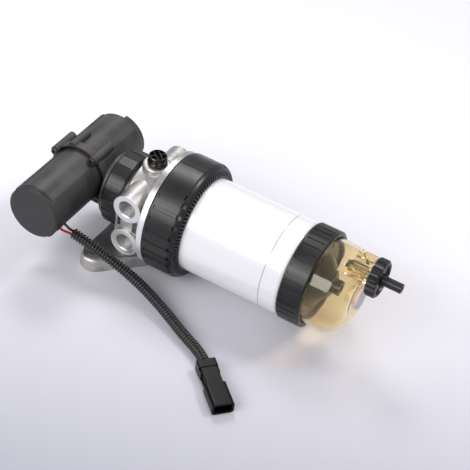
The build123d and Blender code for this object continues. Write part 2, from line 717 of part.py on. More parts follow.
# Lock ring: tabs behind the head's lugs, a lip on the canister's bead, flutes for the hand
with BuildPart() as lock_ring:
    lip_x = BEAD_X + BEAD_LENGTH + RUNNING_GAP
    tab_end_x = skirt_end_x - LOCK_LUG_LENGTH - RUNNING_GAP
    straight_end_x = lock_ring_end_x - LOCK_RING_CHAMFER_LENGTH
    with BuildSketch(axis_plane):
        with BuildLine():
            Polyline(
                (lock_ring_end_x, lock_nose_radius),
                (lock_ring_end_x, CANISTER_RADIUS + TURNING_GAP),
                (lip_x, CANISTER_RADIUS + TURNING_GAP),
                (lip_x, lock_ring_bore),
                (lock_ring_x, lock_ring_bore),
                (lock_ring_x, lock_ring_radius - 1),
                (lock_ring_x + 1, lock_ring_radius),
                (straight_end_x, lock_ring_radius),
            )
            ThreePointArc(
                (straight_end_x, lock_ring_radius),
                (
                    lock_ring_end_x - 0.286 * LOCK_RING_CHAMFER_LENGTH,
                    lock_ring_radius - 0.335 * (lock_ring_radius - lock_nose_radius),
                ),
                (lock_ring_end_x, lock_nose_radius),
            )
        make_face()
    revolve(axis=canister_axis)
    with BuildSketch(across(lock_ring_x)):
        for angle in lug_angles:
            add(sector(skirt_radius + TURNING_GAP, lock_ring_bore + 0.5, angle, LOCK_LUG_SPAN))
    extrude(amount=tab_end_x - lock_ring_x)
    # Flutes for the hand, each with a pocket at its front end, and two smooth panels between them
    flute_span = LOCK_FLUTE_WIDTH / lock_ring_radius * 180 / pi
    flute_length = straight_end_x - lock_ring_x - LOCK_FLUTE_MARGIN
    flute_count = int((180 - 2 * LOCK_PANEL_HALF_ANGLE) / LOCK_FLUTE_PITCH) + 1
    flute_angles = [
        side + LOCK_FLUTE_MIDDLE + (step - (flute_count - 1) / 2) * LOCK_FLUTE_PITCH
        for side in (0, 180)
        for step in range(flute_count)
    ]
    with BuildSketch(across(lock_ring_x + LOCK_FLUTE_MARGIN)):
        for angle in flute_angles:
            add(
                sector(
                    lock_ring_radius - LOCK_FLUTE_DEPTH,
                    lock_ring_radius + 1,
                    angle,
                    flute_span,
                )
            )
    extrude(amount=flute_length, mode=Mode.SUBTRACT)
    with BuildSketch(across(straight_end_x + 0.4)):
        for angle in flute_angles:
            add(
                sector(
                    lock_ring_radius - LOCK_POCKET_DEPTH,
                    lock_ring_radius + 1,
                    angle,
                    flute_span + 0.8,
                )
            )
    extrude(amount=LOCK_POCKET_LENGTH, mode=Mode.SUBTRACT)
    # Seam across the middle of each smooth panel
    with BuildSketch(across(lock_ring_x + LOCK_FLUTE_MARGIN)):
        for panel in (90, 270):
            add(sector(lock_ring_radius - 0.6, lock_ring_radius + 1, panel - 1, 1.2))
    extrude(amount=flute_length, mode=Mode.SUBTRACT)
    # Notches round the nose
    with BuildSketch(across(lock_ring_end_x)):
        with PolarLocations(lock_nose_radius + 2.6, LOCK_NOTCH_COUNT):
            Rectangle(4.4, LOCK_NOTCH_WIDTH)
    extrude(amount=-(LOCK_NOTCH_DEPTH + 1.9), mode=Mode.SUBTRACT)
    # Detent window on the side
    with BuildSketch(across(straight_end_x - 0.5)):
        add(sector(lock_ring_radius - 1.6, lock_ring_radius + 1, LOCK_WINDOW_ANGLE, 5.0))
    extrude(amount=5, mode=Mode.SUBTRACT)

# Bowl ring: tabs behind the lower cap's collar, a lip on the bowl's flange
bowl_ring_end_x = BOWL_RING_X + BOWL_RING_LENGTH
with BuildPart() as bowl_ring:
    front_lip_x = bowl_flange_end_x + RUNNING_GAP
    with BuildSketch(axis_plane):
        add(
            outline(
                (BOWL_RING_X, BOWL_RING_BORE),
                (BOWL_RING_X, BOWL_RING_RADIUS - 0.6),
                (BOWL_RING_X + 0.6, BOWL_RING_RADIUS),
                (bowl_ring_end_x - 1.2, BOWL_RING_RADIUS),
                (bowl_ring_end_x, BOWL_RING_RADIUS - 1.2),
                (bowl_ring_end_x, BOWL_RADIUS + TURNING_GAP),
                (front_lip_x, BOWL_RADIUS + TURNING_GAP),
                (front_lip_x, BOWL_RING_BORE),
            )
        )
    revolve(axis=canister_axis)
    with BuildSketch(across(BOWL_RING_X)):
        for angle in lug_angles:
            add(
                sector(
                    pass_radius + TURNING_GAP,
                    BOWL_RING_BORE + 0.5,
                    angle,
                    BOWL_TAB_SPAN,
                )
            )
    extrude(amount=BOWL_RING_BACK_LIP)
    flute_span = BOWL_RING_FLUTE_WIDTH / BOWL_RING_RADIUS * 180 / pi
    with BuildSketch(across(BOWL_RING_X + 2)):
        for step in range(BOWL_RING_FLUTES):
            add(
                sector(
                    BOWL_RING_RADIUS - BOWL_RING_FLUTE_DEPTH,
                    BOWL_RING_RADIUS + 1,
                    step * 360 / BOWL_RING_FLUTES,
                    flute_span,
                )
            )
    extrude(amount=BOWL_RING_LENGTH - 4.5, mode=Mode.SUBTRACT)

# Clear bowl with its drain hood, ribs and centre boss
rounding_x = bowl_end_x - BOWL_ROUNDING
inner_rounding = BOWL_ROUNDING - BOWL_WALL
corner_r = BOWL_END_RADIUS - BOWL_ROUNDING
half = sin(radians(45))
with BuildPart() as bowl:
    with BuildSketch(axis_plane):
        with BuildLine():
            Polyline(
                (bowl_end_x, corner_r),
                (bowl_end_x, 0),
                (bowl_end_x - BOWL_WALL, 0),
                (bowl_end_x - BOWL_WALL, corner_r),
            )
            ThreePointArc(
                (bowl_end_x - BOWL_WALL, corner_r),
                (rounding_x + inner_rounding * half, corner_r + inner_rounding * half),
                (rounding_x, corner_r + inner_rounding),
            )
            Polyline(
                (rounding_x, corner_r + inner_rounding),
                (bowl_x, BOWL_RADIUS - BOWL_WALL),
                (bowl_x, BOWL_FLANGE_RADIUS),
                (bowl_flange_end_x, BOWL_FLANGE_RADIUS),
                (bowl_flange_end_x, BOWL_RADIUS),
                (rounding_x, BOWL_END_RADIUS),
            )
            ThreePointArc(
                (rounding_x, BOWL_END_RADIUS),
                (rounding_x + BOWL_ROUNDING * half, corner_r + BOWL_ROUNDING * half),
                (bowl_end_x, corner_r),
            )
        make_face()
    revolve(axis=canister_axis)
    # Gaps in the flange where the bowl ring's tabs pass
    with BuildSketch(across(bowl_x - 1)):
        for angle in lug_angles:
            add(sector(pass_radius, BOWL_FLANGE_RADIUS + 1, angle + 60, BOWL_PASS_SPAN))
    extrude(amount=BOWL_FLANGE_THICKNESS + 2, mode=Mode.SUBTRACT)
    # Hood: the wall runs on over the drain valve
    with BuildSketch(across(rounding_x - 1)):
        add(sector(BOWL_END_RADIUS - HOOD_WALL, BOWL_END_RADIUS, 90, 2 * HOOD_HALF_ANGLE))
    extrude(amount=hood_end_x - rounding_x + 1)
    # Ribs from the drain boss to the hood and to the end wall
    rib_start_x = bowl_end_x - RIB_DEPTH
    with BuildSketch(across(rib_start_x)):
        for angle in (90 - HOOD_HALF_ANGLE, 90, 90 + HOOD_HALF_ANGLE):
            foot_point = polar(BOWL_END_RADIUS - HOOD_WALL / 2, angle)
            with BuildLine():
                Line((DRAIN_SIDE, DRAIN_OFFSET), foot_point)
            trace(line_width=RIB_THICKNESS)
        with BuildLine():
            Line((DRAIN_SIDE, DRAIN_OFFSET), (0, PLUG_HEAD_RADIUS + 4))
        trace(line_width=RIB_THICKNESS)
    extrude(amount=hood_end_x - rib_start_x)
    # Faceted drain boss, and the round boss of the sensor port
    with BuildSketch(across_drain(bowl_end_x - DRAIN_BOSS_DEPTH)):
        RegularPolygon(DRAIN_BOSS_RADIUS, DRAIN_BOSS_SIDES, rotation=180 / DRAIN_BOSS_SIDES)
    extrude(amount=DRAIN_BOSS_DEPTH + DRAIN_BOSS_REACH)
    with BuildSketch(across(bowl_end_x - BOWL_WALL - PLUG_BOSS_LENGTH)):
        Circle(PLUG_BOSS_RADIUS)
    extrude(amount=PLUG_BOSS_LENGTH + BOWL_WALL / 2)
    with BuildSketch(across(bowl_end_x - BOWL_WALL - PLUG_BOSS_LENGTH)):
        Circle(PLUG_STUB_RADIUS + SEAT_GAP)
    extrude(amount=PLUG_BOSS_LENGTH + BOWL_WALL, mode=Mode.SUBTRACT)
    with BuildSketch(across_drain(bowl_end_x - DRAIN_BOSS_DEPTH)):
        Circle(DRAIN_STEM_RADIUS + RUNNING_GAP)
    extrude(amount=DRAIN_BOSS_DEPTH + DRAIN_BOSS_REACH, mode=Mode.SUBTRACT)

with BuildPart() as bowl_seal:
    with BuildSketch(axis_plane):
        add(band(bowl_x - BOWL_SEAL, bowl_x, BOWL_RADIUS - 1.9, pass_radius - 0.2))
    revolve(axis=canister_axis)

with BuildPart() as sensor_port_plug:
    with BuildSketch(axis_plane):
        add(
            outline(
                (bowl_end_x - BOWL_WALL - PLUG_BOSS_LENGTH + 3, 0),
                (bowl_end_x - BOWL_WALL - PLUG_BOSS_LENGTH + 3, PLUG_STUB_RADIUS),
                (bowl_end_x, PLUG_STUB_RADIUS),
                (bowl_end_x, PLUG_HEAD_RADIUS),
                (bowl_end_x + PLUG_HEAD_THICKNESS - 0.6, PLUG_HEAD_RADIUS),
                (bowl_end_x + PLUG_HEAD_THICKNESS, PLUG_HEAD_RADIUS - 0.6),
                (bowl_end_x + PLUG_HEAD_THICKNESS, 0),
            )
        )
    revolve(axis=canister_axis)

# Drain valve: stem, fluted wheel and hose spout in one moulding
wheel_end_x = wheel_x + DRAIN_WHEEL_THICKNESS
spout_end_x = wheel_end_x + DRAIN_SPOUT_LENGTH
with BuildPart() as drain_valve:
    with BuildSketch(drain_plane):
        add(
            outline(
                (wheel_x - DRAIN_STEM_LENGTH, 0),
                (wheel_x - DRAIN_STEM_LENGTH, DRAIN_STEM_RADIUS - 0.6),
                (wheel_x - DRAIN_STEM_LENGTH + 0.6, DRAIN_STEM_RADIUS),
                (wheel_x, DRAIN_STEM_RADIUS),
                (wheel_x, DRAIN_WHEEL_RADIUS - 0.8),
                (wheel_x + 0.8, DRAIN_WHEEL_RADIUS),
                (wheel_end_x - 1.6, DRAIN_WHEEL_RADIUS),
                (wheel_end_x, DRAIN_WHEEL_RADIUS - 1.6),
                (wheel_end_x, DRAIN_WHEEL_RADIUS - 3.2),
                (wheel_end_x - DRAIN_WHEEL_DISH, DRAIN_WHEEL_RADIUS - 4.0),
                (wheel_end_x - DRAIN_WHEEL_DISH, DRAIN_HUB_RADIUS),
                (wheel_end_x + 2.6, DRAIN_HUB_RADIUS - 0.4),
                (wheel_end_x + 2.6, DRAIN_SPOUT_RADIUS),
                (spout_end_x - 0.4, DRAIN_SPOUT_RADIUS),
                (spout_end_x, DRAIN_SPOUT_RADIUS - 0.4),
                (spout_end_x, 0),
            )
        )
    revolve(axis=drain_axis)
    with BuildSketch(across_drain(wheel_x)):
        with PolarLocations(DRAIN_WHEEL_RADIUS + 0.5, DRAIN_FLUTE_COUNT):
            RegularPolygon(DRAIN_FLUTE_RADIUS, 6)
    extrude(amount=DRAIN_WHEEL_THICKNESS, mode=Mode.SUBTRACT)
    with BuildSketch(across_drain(spout_end_x)):
        Circle(DRAIN_BORE_RADIUS)
    extrude(amount=-(spout_end_x - wheel_x + DRAIN_STEM_LENGTH - 4), mode=Mode.SUBTRACT)

with BuildPart() as drain_o_ring:
    ring_x = drain_boss_end_x + O_RING_SECTION
    with BuildSketch(drain_plane):
        with Locations((ring_x, DRAIN_STEM_RADIUS + RUNNING_GAP + O_RING_SECTION)):
            Circle(O_RING_SECTION)
    revolve(axis=drain_axis)

# Pump front shell, open at both ends
shell_front_y = PUMP_FRONT_Y + PUMP_CAP_THICKNESS
shell_end_y = PUMP_SPLIT_Y + PUMP_ENTRY
with BuildPart() as pump_front_shell:
    with BuildSketch(pump_plane):
        add(band(shell_front_y, shell_end_y, PUMP_RADIUS - PUMP_WALL, PUMP_RADIUS))
    revolve(axis=pump_axis)
    # Screw ears just in front of the rear shell
    with BuildSketch(across_pump(PUMP_SPLIT_Y - RUNNING_GAP)):
        with PolarLocations(EAR_CIRCLE, 4, start_angle=EAR_FIRST_ANGLE):
            Circle(EAR_RADIUS)
        Circle(PUMP_RADIUS - PUMP_WALL / 2, mode=Mode.SUBTRACT)
        with PolarLocations(EAR_CIRCLE, 4, start_angle=EAR_FIRST_ANGLE):
            Circle(SCREW_RADIUS + 0.2, mode=Mode.SUBTRACT)
    extrude(amount=EAR_THICKNESS)
    # Triple ribs that frame the upper face
    ear_front_y = PUMP_SPLIT_Y - RUNNING_GAP - EAR_THICKNESS
    rib_span = RIB_WIDTH / PUMP_RADIUS * 180 / pi
    rib_step = RIB_PITCH / PUMP_RADIUS * 180 / pi
    with BuildSketch(across_pump(shell_front_y)):
        for angle in (SIDE_RIB_ANGLE, 180 - SIDE_RIB_ANGLE, -SIDE_RIB_ANGLE):
            for shift in (-rib_step, 0, rib_step):
                add(
                    sector(
                        PUMP_RADIUS - 0.3,
                        PUMP_RADIUS + RIB_HEIGHT,
                        angle + shift,
                        rib_span,
                    )
                )
    extrude(amount=-(ear_front_y - shell_front_y - 1))
    for row in range(3):
        with BuildSketch(across_pump(shell_front_y + row * RIB_PITCH)):
            add(
                sector(
                    PUMP_RADIUS - 0.3,
                    PUMP_RADIUS + RIB_HEIGHT,
                    90,
                    180 - 2 * SIDE_RIB_ANGLE,
                )
            )
        extrude(amount=-RIB_WIDTH)
    # Slot that lets the wires out beside the end cap
    slot_y = shell_front_y + WIRE_SLOT_SETBACK
    slot_direction = Vector(cos(radians(WIRE_SLOT_ANGLE)), 0, sin(radians(WIRE_SLOT_ANGLE)))
    slot_reach = PUMP_RADIUS - PUMP_WALL - 0.1
    slot_origin = Vector(PUMP_X, slot_y, pump_z) + slot_direction * slot_reach
    slot_plane = Plane(origin=slot_origin, x_dir=(0, 1, 0), z_dir=slot_direction)
    with BuildSketch(slot_plane):
        Rectangle(WIRE_SLOT_LENGTH, WIRE_SLOT_WIDTH)
    extrude(amount=GROMMET_THICKNESS, both=True, mode=Mode.SUBTRACT)

with BuildPart() as pump_end_cap:
    with BuildSketch(pump_plane):
        add(
            outline(
                (PUMP_FRONT_Y, 0),
                (PUMP_FRONT_Y, PUMP_RADIUS - 1.4),
                (PUMP_FRONT_Y + 0.8, PUMP_RADIUS),
                (shell_front_y, PUMP_RADIUS),
                (shell_front_y, PUMP_RADIUS - PUMP_WALL - 0.2),
                (shell_front_y + PUMP_CAP_PLUG, PUMP_RADIUS - PUMP_WALL - 0.2),
                (shell_front_y + PUMP_CAP_PLUG, BEARING_RADIUS),
                (shell_front_y + PUMP_CAP_PLUG - BEARING_LENGTH + 1, BEARING_RADIUS),
                (shell_front_y + PUMP_CAP_PLUG - BEARING_LENGTH + 1, 0),
            )
        )
    revolve(axis=pump_axis)

# Pump rear shell with its mouth, screw bosses, fuel chamber and neck
stage_y = shell_end_y + 1.0
chamber_y = stage_y + 2 * STAGE_PLATE_THICKNESS + IMPELLER_THICKNESS + 2 * RUNNING_GAP
neck_plane = across(NECK_NOSE_END_X)
with BuildPart() as pump_rear_shell:
    with BuildSketch(pump_plane):
        add(
            outline(
                (PUMP_SPLIT_Y, 0),
                (PUMP_SPLIT_Y, PUMP_RIM_RADIUS),
                (PUMP_SPLIT_Y + PUMP_RIM_LENGTH - 1.5, PUMP_RIM_RADIUS),
                (PUMP_SPLIT_Y + PUMP_RIM_LENGTH, PUMP_REAR_RADIUS),
                (PUMP_REAR_Y, PUMP_REAR_RADIUS),
                (PUMP_REAR_Y, 0),
            )
        )
    revolve(axis=pump_axis)
    rear_edge = pump_rear_shell.edges().filter_by(GeomType.CIRCLE).sort_by(Axis.Y)[-1]
    fillet(rear_edge, PUMP_REAR_ROUNDING)
    with BuildSketch(across_pump(PUMP_SPLIT_Y)):
        with PolarLocations(EAR_CIRCLE, 4, start_angle=EAR_FIRST_ANGLE):
            Circle(EAR_RADIUS)
        with Locations(polar(EAR_CIRCLE, BLANK_BOSS_ANGLE)):
            Circle(BLANK_BOSS_RADIUS)
    extrude(amount=-EAR_LENGTH)
    # Raised pad on one half of the rear end
    with BuildSketch(across_pump(PUMP_REAR_Y - PUMP_REAR_ROUNDING)):
        Circle(PUMP_REAR_RADIUS - PUMP_PAD_SETBACK)
        with Locations((PUMP_PAD_EDGE, 0)):
            Rectangle(
                PUMP_REAR_RADIUS + PUMP_PAD_EDGE,
                2 * PUMP_REAR_RADIUS,
                align=(Align.MAX, Align.CENTER),
                mode=Mode.SUBTRACT,
            )
    extrude(amount=-(PUMP_REAR_ROUNDING + PUMP_PAD_HEIGHT))
    rib_span = RIB_WIDTH / PUMP_REAR_RADIUS * 180 / pi
    with BuildSketch(across_pump(PUMP_SPLIT_Y + EAR_LENGTH)):
        for angle in (SIDE_RIB_ANGLE, 180 - SIDE_RIB_ANGLE, 180 + SIDE_RIB_ANGLE):
            for shift in (-rib_step, 0, rib_step):
                add(
                    sector(
                        PUMP_REAR_RADIUS - 0.3,
                        PUMP_REAR_RADIUS + RIB_HEIGHT,
                        angle + shift,
                        rib_span,
                    )
                )
    extrude(amount=-(PUMP_REAR_Y - PUMP_REAR_ROUNDING - PUMP_SPLIT_Y - EAR_LENGTH))
    # Stiffening rib behind the mouth
    with BuildSketch(across_pump(PUMP_SPLIT_Y + 4)):
        add(sector(PUMP_REAR_RADIUS - 0.5, PUMP_RIM_RADIUS - 0.6, SIDE_RIB_ANGLE - 2, 5))
    extrude(amount=-(EAR_LENGTH + 2))
    # Neck along the canister axis, cut flat where it would meet the front shell's ears
    with BuildSketch(axis_plane):
        add(
            outline(
                (PUMP_X, 0),
                (PUMP_X, NECK_RADIUS),
                (NECK_COLLAR_X - NECK_FLARE_LENGTH, NECK_RADIUS),
                (NECK_COLLAR_X, NECK_COLLAR_RADIUS),
                (COLLAR_BACK_X - RUNNING_GAP, NECK_COLLAR_RADIUS),
                (COLLAR_BACK_X - RUNNING_GAP, NECK_RADIUS),
                (NECK_SHOULDER_X, NECK_RADIUS),
                (NECK_SHOULDER_X, neck_shoulder_radius),
                (NECK_SHOULDER_X + NECK_SHOULDER_THICKNESS, neck_shoulder_radius),
                (NECK_SHOULDER_X + NECK_SHOULDER_THICKNESS, NECK_NOSE_RADIUS),
                (NECK_NOSE_END_X, NECK_NOSE_RADIUS),
                (NECK_NOSE_END_X, 0),
            )
        )
    revolve(axis=canister_axis)
    ear_side_x = PUMP_X + EAR_CIRCLE * cos(radians(EAR_FIRST_ANGLE - 90)) + EAR_RADIUS
    with BuildSketch(Plane(origin=(ear_side_x + RUNNING_GAP, PUMP_SPLIT_Y, 0), z_dir=(0, 0, 1))):
        Rectangle(EAR_CIRCLE, EAR_CIRCLE, align=(Align.MAX, Align.MAX))
    extrude(amount=AXIS_HEIGHT + NECK_COLLAR_RADIUS + 1, mode=Mode.SUBTRACT)
    # Bores
    with BuildSketch(pump_plane):
        add(
            outline(
                (PUMP_SPLIT_Y - 1, 0),
                (PUMP_SPLIT_Y - 1, PUMP_RADIUS + SEAT_GAP),
                (stage_y, PUMP_RADIUS + SEAT_GAP),
                (stage_y, PUMP_STAGE_RADIUS + SEAT_GAP),
                (chamber_y, PUMP_STAGE_RADIUS + SEAT_GAP),
                (chamber_y, PUMP_CHAMBER_RADIUS),
                (PUMP_REAR_Y - PUMP_REAR_WALL, PUMP_CHAMBER_RADIUS),
                (PUMP_REAR_Y - PUMP_REAR_WALL, 0),
            )
        )
    revolve(axis=pump_axis, mode=Mode.SUBTRACT)
    # Recess round the mouth, between the screw bosses
    with BuildSketch(across_pump(PUMP_SPLIT_Y)):
        Circle(PUMP_RADIUS + PUMP_MOUTH_RECESS)
        with PolarLocations(EAR_CIRCLE, 4, start_angle=EAR_FIRST_ANGLE):
            Circle(EAR_RADIUS, mode=Mode.SUBTRACT)
    extrude(amount=-PUMP_MOUTH_DEPTH, mode=Mode.SUBTRACT)
    with BuildSketch(neck_plane):
        with Locations((8, 0)):
            Circle(NECK_BORE)
    extrude(amount=-(NECK_NOSE_END_X - PUMP_X - 8), mode=Mode.SUBTRACT)
    with BuildSketch(axis_plane):
        groove_x = NECK_NOSE_END_X - 4
        add(band(groove_x, groove_x + 2.6, NECK_NOSE_RADIUS - 1.6, NECK_NOSE_RADIUS + 1))
    revolve(axis=canister_axis, mode=Mode.SUBTRACT)
    with BuildSketch(across_pump(PUMP_SPLIT_Y)):
        with PolarLocations(EAR_CIRCLE, 4, start_angle=EAR_FIRST_ANGLE):
            Circle(SCREW_RADIUS + 0.05)
    extrude(amount=-(SCREW_LENGTH - EAR_THICKNESS + 1), mode=Mode.SUBTRACT)

with BuildPart() as neck_o_ring:
    with BuildSketch(axis_plane):
        with Locations((groove_x + 1.3, NECK_NOSE_RADIUS - 0.75)):
            Circle(0.8)
    revolve(axis=canister_axis)

with BuildPart() as pump_seal:
    with BuildSketch(pump_plane):
        add(band(shell_end_y, stage_y, PUMP_RADIUS - PUMP_WALL, PUMP_RADIUS))
    revolve(axis=pump_axis)

screw_seat_y = PUMP_SPLIT_Y - RUNNING_GAP - EAR_THICKNESS
with BuildPart() as pump_screws:
    with BuildSketch(across_pump(screw_seat_y)):
        with PolarLocations(EAR_CIRCLE, 4, start_angle=EAR_FIRST_ANGLE):
            Circle(SCREW_HEAD_RADIUS)
    extrude(amount=SCREW_HEAD_HEIGHT)
    with BuildSketch(across_pump(screw_seat_y)):
        with PolarLocations(EAR_CIRCLE, 4, start_angle=EAR_FIRST_ANGLE):
            Circle(SCREW_RADIUS)
    extrude(amount=-SCREW_LENGTH)
    with BuildSketch(across_pump(screw_seat_y - SCREW_HEAD_HEIGHT)):
        with PolarLocations(EAR_CIRCLE, 4, start_angle=EAR_FIRST_ANGLE):
            RegularPolygon(1.7, 6)
    extrude(amount=-1.2, mode=Mode.SUBTRACT)

# Collar that clamps the pump neck to the head
with BuildPart() as pump_collar:
    with BuildSketch(axis_plane):
        add(
            outline(
                (COLLAR_BACK_X, NECK_RADIUS + TURNING_GAP),
                (COLLAR_BACK_X, COLLAR_NUT_RADIUS - COLLAR_NUT_CHAMFER),
                (COLLAR_BACK_X + COLLAR_NUT_CHAMFER, COLLAR_NUT_RADIUS),
                (COLLAR_FRONT_X - 0.8, COLLAR_NUT_RADIUS),
                (COLLAR_FRONT_X, COLLAR_NUT_RADIUS - 0.8),
                (COLLAR_FRONT_X, collar_bore),
                (NECK_SHOULDER_X - RUNNING_GAP, collar_bore),
                (NECK_SHOULDER_X - RUNNING_GAP, NECK_RADIUS + TURNING_GAP),
            )
        )
    revolve(axis=canister_axis)
    with BuildSketch(across(collar_tab_x)):
        for angle in lug_angles:
            add(
                sector(
                    socket_outer + TURNING_GAP,
                    collar_bore + 0.5,
                    angle,
                    LOCK_LUG_SPAN,
                )
            )
    extrude(amount=COLLAR_TAB)
    # Flat lands with a flute at each corner
    flute_span = COLLAR_FLUTE_WIDTH / COLLAR_NUT_RADIUS * 180 / pi
    with BuildSketch(across(COLLAR_BACK_X)):
        Circle(COLLAR_NUT_RADIUS + 1)
        RegularPolygon(
            COLLAR_NUT_RADIUS,
            COLLAR_FLUTE_COUNT,
            rotation=COLLAR_FLUTE_FIRST,
            mode=Mode.SUBTRACT,
        )
    extrude(amount=COLLAR_FRONT_X - COLLAR_BACK_X, mode=Mode.SUBTRACT)
    with BuildSketch(across(COLLAR_BACK_X)):
        for step in range(COLLAR_FLUTE_COUNT):
            add(
                sector(
                    COLLAR_NUT_RADIUS - COLLAR_FLUTE_DEPTH,
                    COLLAR_NUT_RADIUS + 1,
                    COLLAR_FLUTE_FIRST + step * 360 / COLLAR_FLUTE_COUNT,
                    flute_span,
                )
            )
    extrude(amount=COLLAR_FRONT_X - COLLAR_BACK_X - 2, mode=Mode.SUBTRACT)

# Motor: can, magnets, armature on its shaft, brushes and bearings
can_inner = MOTOR_CAN_RADIUS - MOTOR_CAN_WALL
magnet_inner = can_inner - MAGNET_THICKNESS
motor_middle_y = (MOTOR_CAN_START_Y + MOTOR_CAN_END_Y) / 2
shaft_start_y = shell_front_y + PUMP_CAP_PLUG - BEARING_LENGTH + 1.5
impeller_y = stage_y + STAGE_PLATE_THICKNESS + RUNNING_GAP
with BuildPart() as motor_can:
    with BuildSketch(pump_plane):
        add(band(MOTOR_CAN_START_Y, MOTOR_CAN_END_Y, can_inner, MOTOR_CAN_RADIUS))
        add(
            band(
                MOTOR_CAN_END_Y - 2,
                MOTOR_CAN_END_Y,
                BEARING_RADIUS,
                MOTOR_CAN_RADIUS + 0.85,
            )
        )
    revolve(axis=pump_axis)

with BuildPart() as magnets:
    with BuildSketch(across_pump(motor_middle_y - MAGNET_LENGTH / 2)):
        for middle in (90, 270):
            add(sector(magnet_inner, can_inner, middle, MAGNET_SPAN))
    extrude(amount=-MAGNET_LENGTH)

with BuildPart() as armature_core:
    with BuildSketch(across_pump(motor_middle_y - ARMATURE_LENGTH / 2)):
        Circle(ARMATURE_RADIUS)
        with PolarLocations(ARMATURE_RADIUS - ARMATURE_SLOT_DEPTH / 2 + 0.5, ARMATURE_SLOTS):
            Rectangle(ARMATURE_SLOT_DEPTH + 1, ARMATURE_SLOT_WIDTH, mode=Mode.SUBTRACT)
        Circle(SHAFT_RADIUS, mode=Mode.SUBTRACT)
    extrude(amount=-ARMATURE_LENGTH)

with BuildPart() as windings:
    for start_y in (
        motor_middle_y - ARMATURE_LENGTH / 2 - WINDING_LENGTH,
        motor_middle_y + ARMATURE_LENGTH / 2,
    ):
        with BuildSketch(pump_plane):
            add(band(start_y, start_y + WINDING_LENGTH, SHAFT_RADIUS, ARMATURE_RADIUS - 2))
        revolve(axis=pump_axis)
    with BuildSketch(across_pump(motor_middle_y - ARMATURE_LENGTH / 2)):
        with PolarLocations(ARMATURE_RADIUS - ARMATURE_SLOT_DEPTH / 2, ARMATURE_SLOTS):
            Rectangle(ARMATURE_SLOT_DEPTH - 1.6, ARMATURE_SLOT_WIDTH - 0.4)
    extrude(amount=-ARMATURE_LENGTH)

commutator_y = motor_middle_y - ARMATURE_LENGTH / 2 - WINDING_LENGTH - COMMUTATOR_LENGTH
with BuildPart() as commutator:
    with BuildSketch(pump_plane):
        add(
            band(
                commutator_y,
                commutator_y + COMMUTATOR_LENGTH,
                SHAFT_RADIUS,
                COMMUTATOR_RADIUS,
            )
        )
    revolve(axis=pump_axis)

impeller_end_y = impeller_y + IMPELLER_THICKNESS
with BuildPart() as motor_shaft:
    with BuildSketch(across_pump(shaft_start_y)):
        Circle(SHAFT_RADIUS)
    extrude(amount=-(impeller_end_y - shaft_start_y))

with BuildPart() as front_bearing:
    with BuildSketch(pump_plane):
        front_bearing_y = shell_front_y + PUMP_CAP_PLUG - BEARING_LENGTH + 1
        add(
            band(
                front_bearing_y,
                front_bearing_y + BEARING_LENGTH - 1,
                SHAFT_RADIUS + 0.05,
                BEARING_RADIUS,
            )
        )
    revolve(axis=pump_axis)

with BuildPart() as rear_bearing:
    with BuildSketch(pump_plane):
        add(
            band(
                MOTOR_CAN_END_Y - BEARING_LENGTH,
                MOTOR_CAN_END_Y,
                SHAFT_RADIUS + 0.05,
                BEARING_RADIUS,
            )
        )
    revolve(axis=pump_axis)

with BuildPart() as brush_holder:
    with BuildSketch(pump_plane):
        add(
            band(
                MOTOR_CAN_START_Y - 1.5,
                MOTOR_CAN_START_Y,
                COMMUTATOR_RADIUS + 1,
                MOTOR_CAN_RADIUS,
            )
        )
    revolve(axis=pump_axis)

brush_reach = 6.0
with BuildPart() as brushes:
    brush_y = MOTOR_CAN_START_Y
    for side in (-1, 1):
        brush_x = side * (COMMUTATOR_RADIUS + RUNNING_GAP + brush_reach / 2)
        with BuildSketch(across_pump(brush_y)):
            with Locations((brush_x, 0)):
                Rectangle(brush_reach, BRUSH_SIZE)
        extrude(amount=-BRUSH_SIZE)

# Pumping stage: an impeller between two plates
with BuildPart() as inlet_plate:
    with BuildSketch(across_pump(stage_y)):
        Circle(PUMP_STAGE_RADIUS)
        Circle(SHAFT_RADIUS + RUNNING_GAP, mode=Mode.SUBTRACT)
        with Locations(polar(IMPELLER_RADIUS - 2, 225)):
            Circle(2, mode=Mode.SUBTRACT)
    extrude(amount=-STAGE_PLATE_THICKNESS)

with BuildPart() as impeller:
    with BuildSketch(across_pump(impeller_y)):
        Circle(IMPELLER_RADIUS)
        with PolarLocations(IMPELLER_RADIUS - IMPELLER_VANE_DEPTH / 2 + 0.3, IMPELLER_VANES):
            Rectangle(IMPELLER_VANE_DEPTH + 0.6, 2.8, mode=Mode.SUBTRACT)
        Circle(SHAFT_RADIUS, mode=Mode.SUBTRACT)
    extrude(amount=-IMPELLER_THICKNESS)

with BuildPart() as outlet_plate:
    outlet_y = impeller_end_y + RUNNING_GAP
    with BuildSketch(across_pump(outlet_y)):
        Circle(PUMP_STAGE_RADIUS)
        with Locations(polar(12, 45)):
            Circle(2.4, mode=Mode.SUBTRACT)
    extrude(amount=-STAGE_PLATE_THICKNESS)


def arc_radii(points):
    """The radius at each corner: 0.45 of the shorter run over the tangent of half the turn."""
    corners = [Vector(*point) for point in points]
    radii = []
    for before, corner, after in zip(corners, corners[1:], corners[2:]):
        turn = (corner - before).get_angle(after - corner)
        shorter = min((corner - before).length, (after - corner).length)
        radii.append(0.45 * shorter / tan(radians(turn / 2)))
    return radii


def cord_path(points):
    """Straight runs joined by tangent arcs."""
    with BuildLine() as path:
        FilletPolyline(*points, radius=arc_radii(points))
    return path.wire()


def report_cord(name, points, path, section, solid):
    expected = section * path.length
    print(name, "length", round(path.length, 1), "radii", [round(r, 1) for r in arc_radii(points)])
    print(name, "volume", round(solid.volume, 1), "section times length", round(expected, 1))


# The connector lies flat, and its back is where the conduit goes in
heading = (cos(radians(CONNECTOR_HEADING)), sin(radians(CONNECTOR_HEADING)), 0)
sideways = (-heading[1], heading[0], 0)


